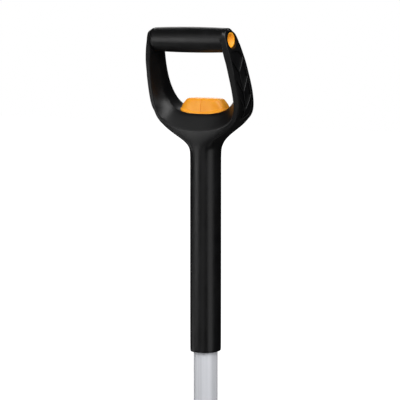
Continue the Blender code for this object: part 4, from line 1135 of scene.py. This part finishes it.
socket_seat = SOCKET_HALF[1] + GAP
for rivet_name, z in zip(("socket_rivet_upper", "socket_rivet_lower"), RIVET_ZS):
    outline = rivet_outline(socket_seat, socket_seat)
    rivet = turned(rivet_name + "_head", outline, (0, SHAFT_Y, z), FORWARD, 48)
    finish_piece(rivet, rivet_name, "lower_shaft", PLATED)
for rivet_name, (drop, flat) in zip(("blade_rivet_upper", "blade_rivet_lower"), BLADE_RIVETS):
    outline = rivet_outline(flat + GAP, SHEET / 2 + GAP)
    rivet = in_blade_frame(turned(rivet_name + "_head", outline, (0, 0, -drop), FORWARD, 48))
    finish_piece(rivet, rivet_name, "lower_shaft", PLATED)

# %% [markdown]
# The blade is pressed from one sheet of steel. A grid primitive is laid over its outline, so that its
# columns run down to the point, and pressed into the dish. A solidify modifier gives the sheet its
# thickness. A bowl cut to the outline with a Boolean would give the same shape, but its lines would not
# follow the edge.

# %% Press the blade
BLADE_HALF_WIDTH = 108 * MM
LAND_HALF, DISH_DEPTH, TIP_CURVE = 17 * MM, 22 * MM, 10 * MM
DISH_POWER = 1.8                     # 1 gives straight wings, more lets them curl up towards the edge
TIP_START = 0.45                     # this far down, the point begins to curve forward
FLARE, WIDEST = 0.045, 0.25          # the top is narrower by this part, and how far down is widest
POINT_POWERS = (3.3, 0.54)           # how late the sides turn in, and how blunt the point is
BLADE_COLUMNS, BLADE_ROWS = 96, 100
ROWS_POWER, BLADE_END = 1.5, 0.9995  # rows lie closer near the point, and end just short of it


def blade_front(x, drop):
    """How far the blade comes forward at a place on it."""
    side = max(abs(x) - LAND_HALF, 0) / (BLADE_HALF_WIDTH - LAND_HALF)
    late = max(drop / BLADE_LENGTH - TIP_START, 0) / (1 - TIP_START)
    return DISH_DEPTH * side ** DISH_POWER + TIP_CURVE * late ** 2


def blade_half_width(drop):
    along = drop / BLADE_LENGTH
    flare = 1 - FLARE + FLARE * math.sin(math.pi * min(along / (2 * WIDEST), 1))
    late, blunt = POINT_POWERS
    return BLADE_HALF_WIDTH * flare * max(1 - along ** late, 0) ** blunt


def press_blade():
    """The sheet in the blade's own frame: origin at the middle of the top edge, -Z to the point."""
    deselect_everything()
    bpy.ops.mesh.primitive_grid_add(x_subdivisions=BLADE_COLUMNS, y_subdivisions=BLADE_ROWS, size=2)
    blade = bpy.context.object
    blade.name = "pressed_blade"
    for vertex in blade.data.vertices:
        down = (1 - vertex.co.y) / 2
        drop = BLADE_LENGTH * (1 - (1 - down) ** ROWS_POWER) * BLADE_END
        x = vertex.co.x * blade_half_width(drop)
        vertex.co = (x, -blade_front(x, drop), -drop)
    wall = blade.modifiers.new("wall", "SOLIDIFY")
    wall.thickness = SHEET
    wall.offset = 0
    apply_modifiers(blade)
    return blade


blade = press_blade()
print("pressed blade:", len(blade.data.polygons), "faces")

# %% [markdown]
# The edge round the point is ground thin after coating, so bare steel shows there. The bright band
# could be a second material on its own faces, but then its border would follow the faces' edges. So
# each vertex stores how far it lies from the edge, and the finish reads that and lets the border
# wander a little, as wear does.

# %% Grind its edge
GROUND_WIDTH, EDGE_SHEET = 5 * MM, 0.9 * MM
GROUND_START, GROUND_FULL = 0.45, 0.75   # how far down the blade the grinding begins and is full
EDGE_SAMPLES = 200
GROUND_STEEL, GROUND_ROUGHNESS = (0.52, 0.52, 0.53, 1), 0.34
COAT_WEAR = 1.6 * MM                 # how far the coat's worn border wanders
BORDER = (GROUND_WIDTH + 0.7 * MM, GROUND_WIDTH + 1.0 * MM)   # from bare steel to the coat


def grind_edge(blade):
    """Thin the front towards the lower edge, and store how far each vertex lies from that edge."""
    outline = []
    for step in range(EDGE_SAMPLES + 1):
        left_over = (1 - GROUND_START) * (1 - step / EDGE_SAMPLES) ** 2
        drop = BLADE_LENGTH * (1 - left_over) * BLADE_END
        outline.append((blade_half_width(drop), drop))
    from_edge = blade.data.attributes.new("from_edge", "FLOAT", "POINT")
    for vertex in blade.data.vertices:
        x, drop = abs(vertex.co.x), -vertex.co.z
        distance = min(math.hypot(x - edge_x, drop - edge_drop) for edge_x, edge_drop in outline)
        full = smoothstep((drop / BLADE_LENGTH - GROUND_START) / (GROUND_FULL - GROUND_START))
        distance += GROUND_WIDTH * (1 - full)
        from_edge.data[vertex.index].value = distance
        if distance < GROUND_WIDTH and vertex.co.y < -blade_front(x, drop):
            vertex.co.y += (SHEET - EDGE_SHEET) * (1 - distance / GROUND_WIDTH)


def ground_coat():
    """The powder coat, worn through to bare ground steel near the edge."""
    material = powder_coat("ground_coat")
    tree = material.node_tree
    shader = tree.nodes["Principled BSDF"]
    distance = tree.nodes.new("ShaderNodeAttribute")
    distance.attribute_name = "from_edge"
    wear = noise(material, object_place(material), 160, 4)
    worn = worked_out(tree, "MULTIPLY_ADD", wear, COAT_WEAR, distance.outputs["Fac"])
    bare = remapped(tree, worn, BORDER, (1.0, 0.0))
    for socket_name, kind, steel in (("Base Color", "RGBA", GROUND_STEEL),
                                     ("Roughness", "FLOAT", GROUND_ROUGHNESS)):
        mix = tree.nodes.new("ShaderNodeMix")
        mix.data_type = kind
        mix.inputs["B"].default_value = steel
        tree.links.new(shader.inputs[socket_name].links[0].from_socket, mix.inputs["A"])
        tree.links.new(bare, mix.inputs["Factor"])
        tree.links.new(mix.outputs["Result"], shader.inputs[socket_name])
    tree.links.new(bare, shader.inputs["Metallic"])
    return material


grind_edge(blade)
cut_away(in_blade_frame(blade), blade_drills())
finish_piece(blade, "blade", "lower_shaft", ground_coat(), 30)

# %% [markdown]
# The treads are steel bars that follow the dish along each shoulder, where a boot pushes. A straight
# bar could be bent by a curve modifier, but here each is grown from its curved outline, rounded with
# a bevel, and given shallow grooves for grip. Two weld beads hold it to the blade, and each bead is a
# small outline extruded step by step with the ripples of a welder's hand.

# %% Make the treads
TREAD_NEAR, TREAD_FAR = 27 * MM, 97 * MM
TREAD_HALF_DEPTH, TREAD_THICK = 10 * MM, 3 * MM
TREAD_ROUNDING, TREAD_END = 16 * MM, 0.45    # how far in it begins to narrow, and its end's width
TREAD_STEPS, TREAD_EDGE = 48, 0.8 * MM
GROOVES, GROOVE_PITCH, FIRST_GROOVE = 7, 7 * MM, 14 * MM
GROOVE_HALF, GROOVE_DEPTH = 0.8 * MM, 0.6 * MM
GROOVE_AHEAD, GROOVE_BEHIND = -60 * MM, 20 * MM   # past the tread's front and back
BEAD_MARGIN, BEAD_STEPS, BEAD_RIPPLE = 4 * MM, 90, 0.07
BEAD_OFF_SHEET = 0.05 * MM
# The bead's outline: distance from the sheet and height above the blade's top edge, in mm.
BEAD = [(0.05, 1.0), (2.9, 1.0), (2.7, -0.1), (2.0, -1.1), (1.1, -1.9), (0.05, -2.4)]


def tread_plate(side):
    front, back = [], []
    for step in range(TREAD_STEPS + 1):
        x = TREAD_NEAR + (TREAD_FAR - TREAD_NEAR) * step / TREAD_STEPS
        inside = min(1.0, min(x - TREAD_NEAR, TREAD_FAR - x) / TREAD_ROUNDING)
        deep = TREAD_HALF_DEPTH * (TREAD_END + (1 - TREAD_END) * math.sqrt(1 - (1 - inside) ** 2))
        front.append(Vector((side * x, -blade_front(x, 0) - deep, GAP)))
        back.append(Vector((side * x, -blade_front(x, 0) + deep, GAP)))
    outline = front + back[::-1]
    plate = between("tread_plate", outline, [point + Vector((0, 0, TREAD_THICK)) for point in outline])
    round_edges(plate, TREAD_EDGE, segments=3, angle=60)
    return plate


def tread_grooves(side):
    """The blocks that cut the grooves."""
    floor_z, over_z = GAP + TREAD_THICK - GROOVE_DEPTH, GAP + TREAD_THICK + 5 * PAST
    grooves = []
    for number in range(GROOVES):
        x = side * (TREAD_NEAR + FIRST_GROOVE + GROOVE_PITCH * number)
        grooves.append(block("groove", (x - GROOVE_HALF, GROOVE_AHEAD, floor_z),
                             (x + GROOVE_HALF, GROOVE_BEHIND, over_z)))
    return grooves


def weld_bead(side, face):
    """A bead along the front or the back of the sheet, under the tread."""
    start, length = TREAD_NEAR + BEAD_MARGIN, TREAD_FAR - TREAD_NEAR - 2 * BEAD_MARGIN
    rings = []
    for step in range(BEAD_STEPS + 1):
        x = start + length * step / BEAD_STEPS
        ripple = 1 + BEAD_RIPPLE * math.cos(step * math.pi / 2)
        sheet = -blade_front(x, 0) + face * (SHEET / 2 + BEAD_OFF_SHEET)
        rings.append([Vector((side * x, sheet + face * away * MM * ripple, high * MM))
                      for away, high in BEAD])
    return close_up(grown("weld_bead", rings))


for tread_name, side in (("tread_left", -1), ("tread_right", 1)):
    tread = tread_plate(side)
    cut_away(tread, tread_grooves(side))
    cut_away(tread, [weld_bead(side, face) for face in (-1, 1)], "UNION")
    tread.name = tread_name + "_plate"
    finish_piece(in_blade_frame(tread), tread_name, "lower_shaft", COAT, 35)

# %% [markdown]
# The studio has a plain pale floor, and everything behind it is white. Photographers bend a sheet of
# paper up behind the object. A flat floor is simpler, and it fades into the white behind because it
# glows to the camera far away. Near the foot it throws some light up at the blade's ground edge.

# %% Lay the floor
SLIDE = 200 * MM                     # the floor lies below the blade of the drawn out shovel
FLOOR_Z = cad_box[0][2] - SLIDE - 0.5 * MM
FLOOR_SIZE, FLOOR_ROUGHNESS = 30, 0.9
FLOOR_TONE = 0.9                     # to the camera
PATCH_REACH, PATCH_TONES = (0.5, 0.9), (0.35, 0.04)   # the part near the foot that throws light up
GLOW_REACH, GLOW = (1.0, 4.0), (0.12, 1.0)            # to the camera, the far floor glows white


def floor_finish():
    """White to the camera and darker to all else, with both changing by the distance from the foot."""
    material, shader = new_finish("floor_white", (FLOOR_TONE,) * 3, FLOOR_ROUGHNESS)
    tree = material.node_tree
    camera_ray = tree.nodes.new("ShaderNodeLightPath").outputs["Is Camera Ray"]
    length = tree.nodes.new("ShaderNodeVectorMath")
    length.operation = "LENGTH"
    tree.links.new(object_place(material), length.inputs[0])
    distance = length.outputs["Value"]
    seen = tree.nodes.new("ShaderNodeMix")
    seen.data_type = "RGBA"
    seen.inputs["B"].default_value = (FLOOR_TONE, FLOOR_TONE, FLOOR_TONE, 1)
    tree.links.new(remapped(tree, distance, PATCH_REACH, PATCH_TONES), seen.inputs["A"])
    tree.links.new(camera_ray, seen.inputs["Factor"])
    tree.links.new(seen.outputs["Result"], shader.inputs["Base Color"])
    glow = worked_out(tree, "MULTIPLY", camera_ray, remapped(tree, distance, GLOW_REACH, GLOW))
    tree.links.new(glow, shader.inputs["Emission Strength"])
    shader.inputs["Emission Color"].default_value = (1, 1, 1, 1)
    shader.inputs["Specular IOR Level"].default_value = 0.0
    return material


def make_floor():
    """A big pale floor. It keeps the shadow and throws light up at the blade."""
    deselect_everything()
    bpy.ops.mesh.primitive_plane_add(size=FLOOR_SIZE, location=(0, 0, FLOOR_Z))
    floor = bpy.context.object
    floor.name = "floor"
    set_finish(floor, floor_finish())


make_floor()
print("floor height:", round(FLOOR_Z, 4))

# %% [markdown]
# The background is white in the photo, but the black moulding mirrors a dark room between its lines
# of light. A grey world would be a poor middle between the two. The light path tells the rays apart,
# so the camera sees white, glossy rays find a nearly black surrounding, and the rest a dim light.

# %% Make the world
AMBIENT, AMBIENT_MIRRORED = 0.18, 0.01   # the world's dim light, and what glossy rays find


def make_world():
    """White for the camera, and a dim even light for everything else."""
    world = bpy.data.worlds.new("studio")
    world.use_nodes = True
    bpy.context.scene.world = world
    tree = world.node_tree
    background = tree.nodes["Background"]
    background.inputs["Color"].default_value = (1, 1, 1, 1)
    rays = tree.nodes.new("ShaderNodeLightPath").outputs
    dim = remapped(tree, rays["Is Glossy Ray"], (0.0, 1.0), (AMBIENT, AMBIENT_MIRRORED))
    strength = worked_out(tree, "MAXIMUM", rays["Is Camera Ray"], dim)
    tree.links.new(strength, background.inputs["Strength"])


make_world()
print("world:", bpy.context.scene.world.name)

# %% [markdown]
# The black moulding shows its form only by what it mirrors, so each lamp is placed for one of its
# lines. Two tall soft lamps left and right of the camera draw a line each down the stem, two low ones
# light the limbs' front and the underside, and two above reach into the crotch. A small one behind
# edges the upper rims, a broad one lights the back, and a weak one in front fills the rest. Fewer and
# bigger lamps would be easier to place, but they would light the dark faces between the lines too.

# %% Hang the lamps
HANDLE_MIDDLE = Vector((0, SHAFT_Y, -200 * MM))
# Each row: name, azimuth and elevation in degrees, distance, width and height, and brightness.
LAMPS = [("left_light", -35, 5, 1.8, (0.5, 1.0), 5.1),
         ("left_low_light", -68, -26, 1.8, (0.7, 0.9), 2.0),
         ("low_light", 3, -30, 1.8, (0.9, 0.6), 1.35),
         ("right_panel", 86, 0, 1.8, (1.4, 2.0), 1.6),
         ("front_fill", 15, -5, 2.6, (1.6, 2.0), 0.5),
         ("crotch_light", 40, 41, 1.8, (2.0, 1.05), 6.6),
         ("crotch_side_light", -22, 34, 1.8, (0.9, 0.6), 1.3),
         ("rim_light", 108, 62, 1.7, (0.6, 0.6), 6.5),
         ("back_light", -140, 18, 2.2, (1.8, 1.8), 2.2)]


def soft_lamp(name, azimuth, elevation, distance, size, brightness):
    """A rectangular lamp that is aimed at the handle. Brightness 1 mirrors as white."""
    data = bpy.data.lights.new(name, "AREA")
    data.shape = "RECTANGLE"
    data.size, data.size_y = size
    data.energy = brightness * math.pi * size[0] * size[1]
    lamp = bpy.data.objects.new(name, data)
    bpy.context.scene.collection.objects.link(lamp)
    toward = direction(math.radians(azimuth), math.radians(elevation))
    lamp.location = HANDLE_MIDDLE + toward * distance
    aim(lamp, HANDLE_MIDDLE)


for lamp_values in LAMPS:
    soft_lamp(*lamp_values)
bpy.context.scene.view_settings.view_transform = "Standard"
print("lamps:", len(bpy.data.lights))

# %% [markdown]
# Last, the view layer is updated.

# %% Update the view layer
bpy.context.view_layer.update()
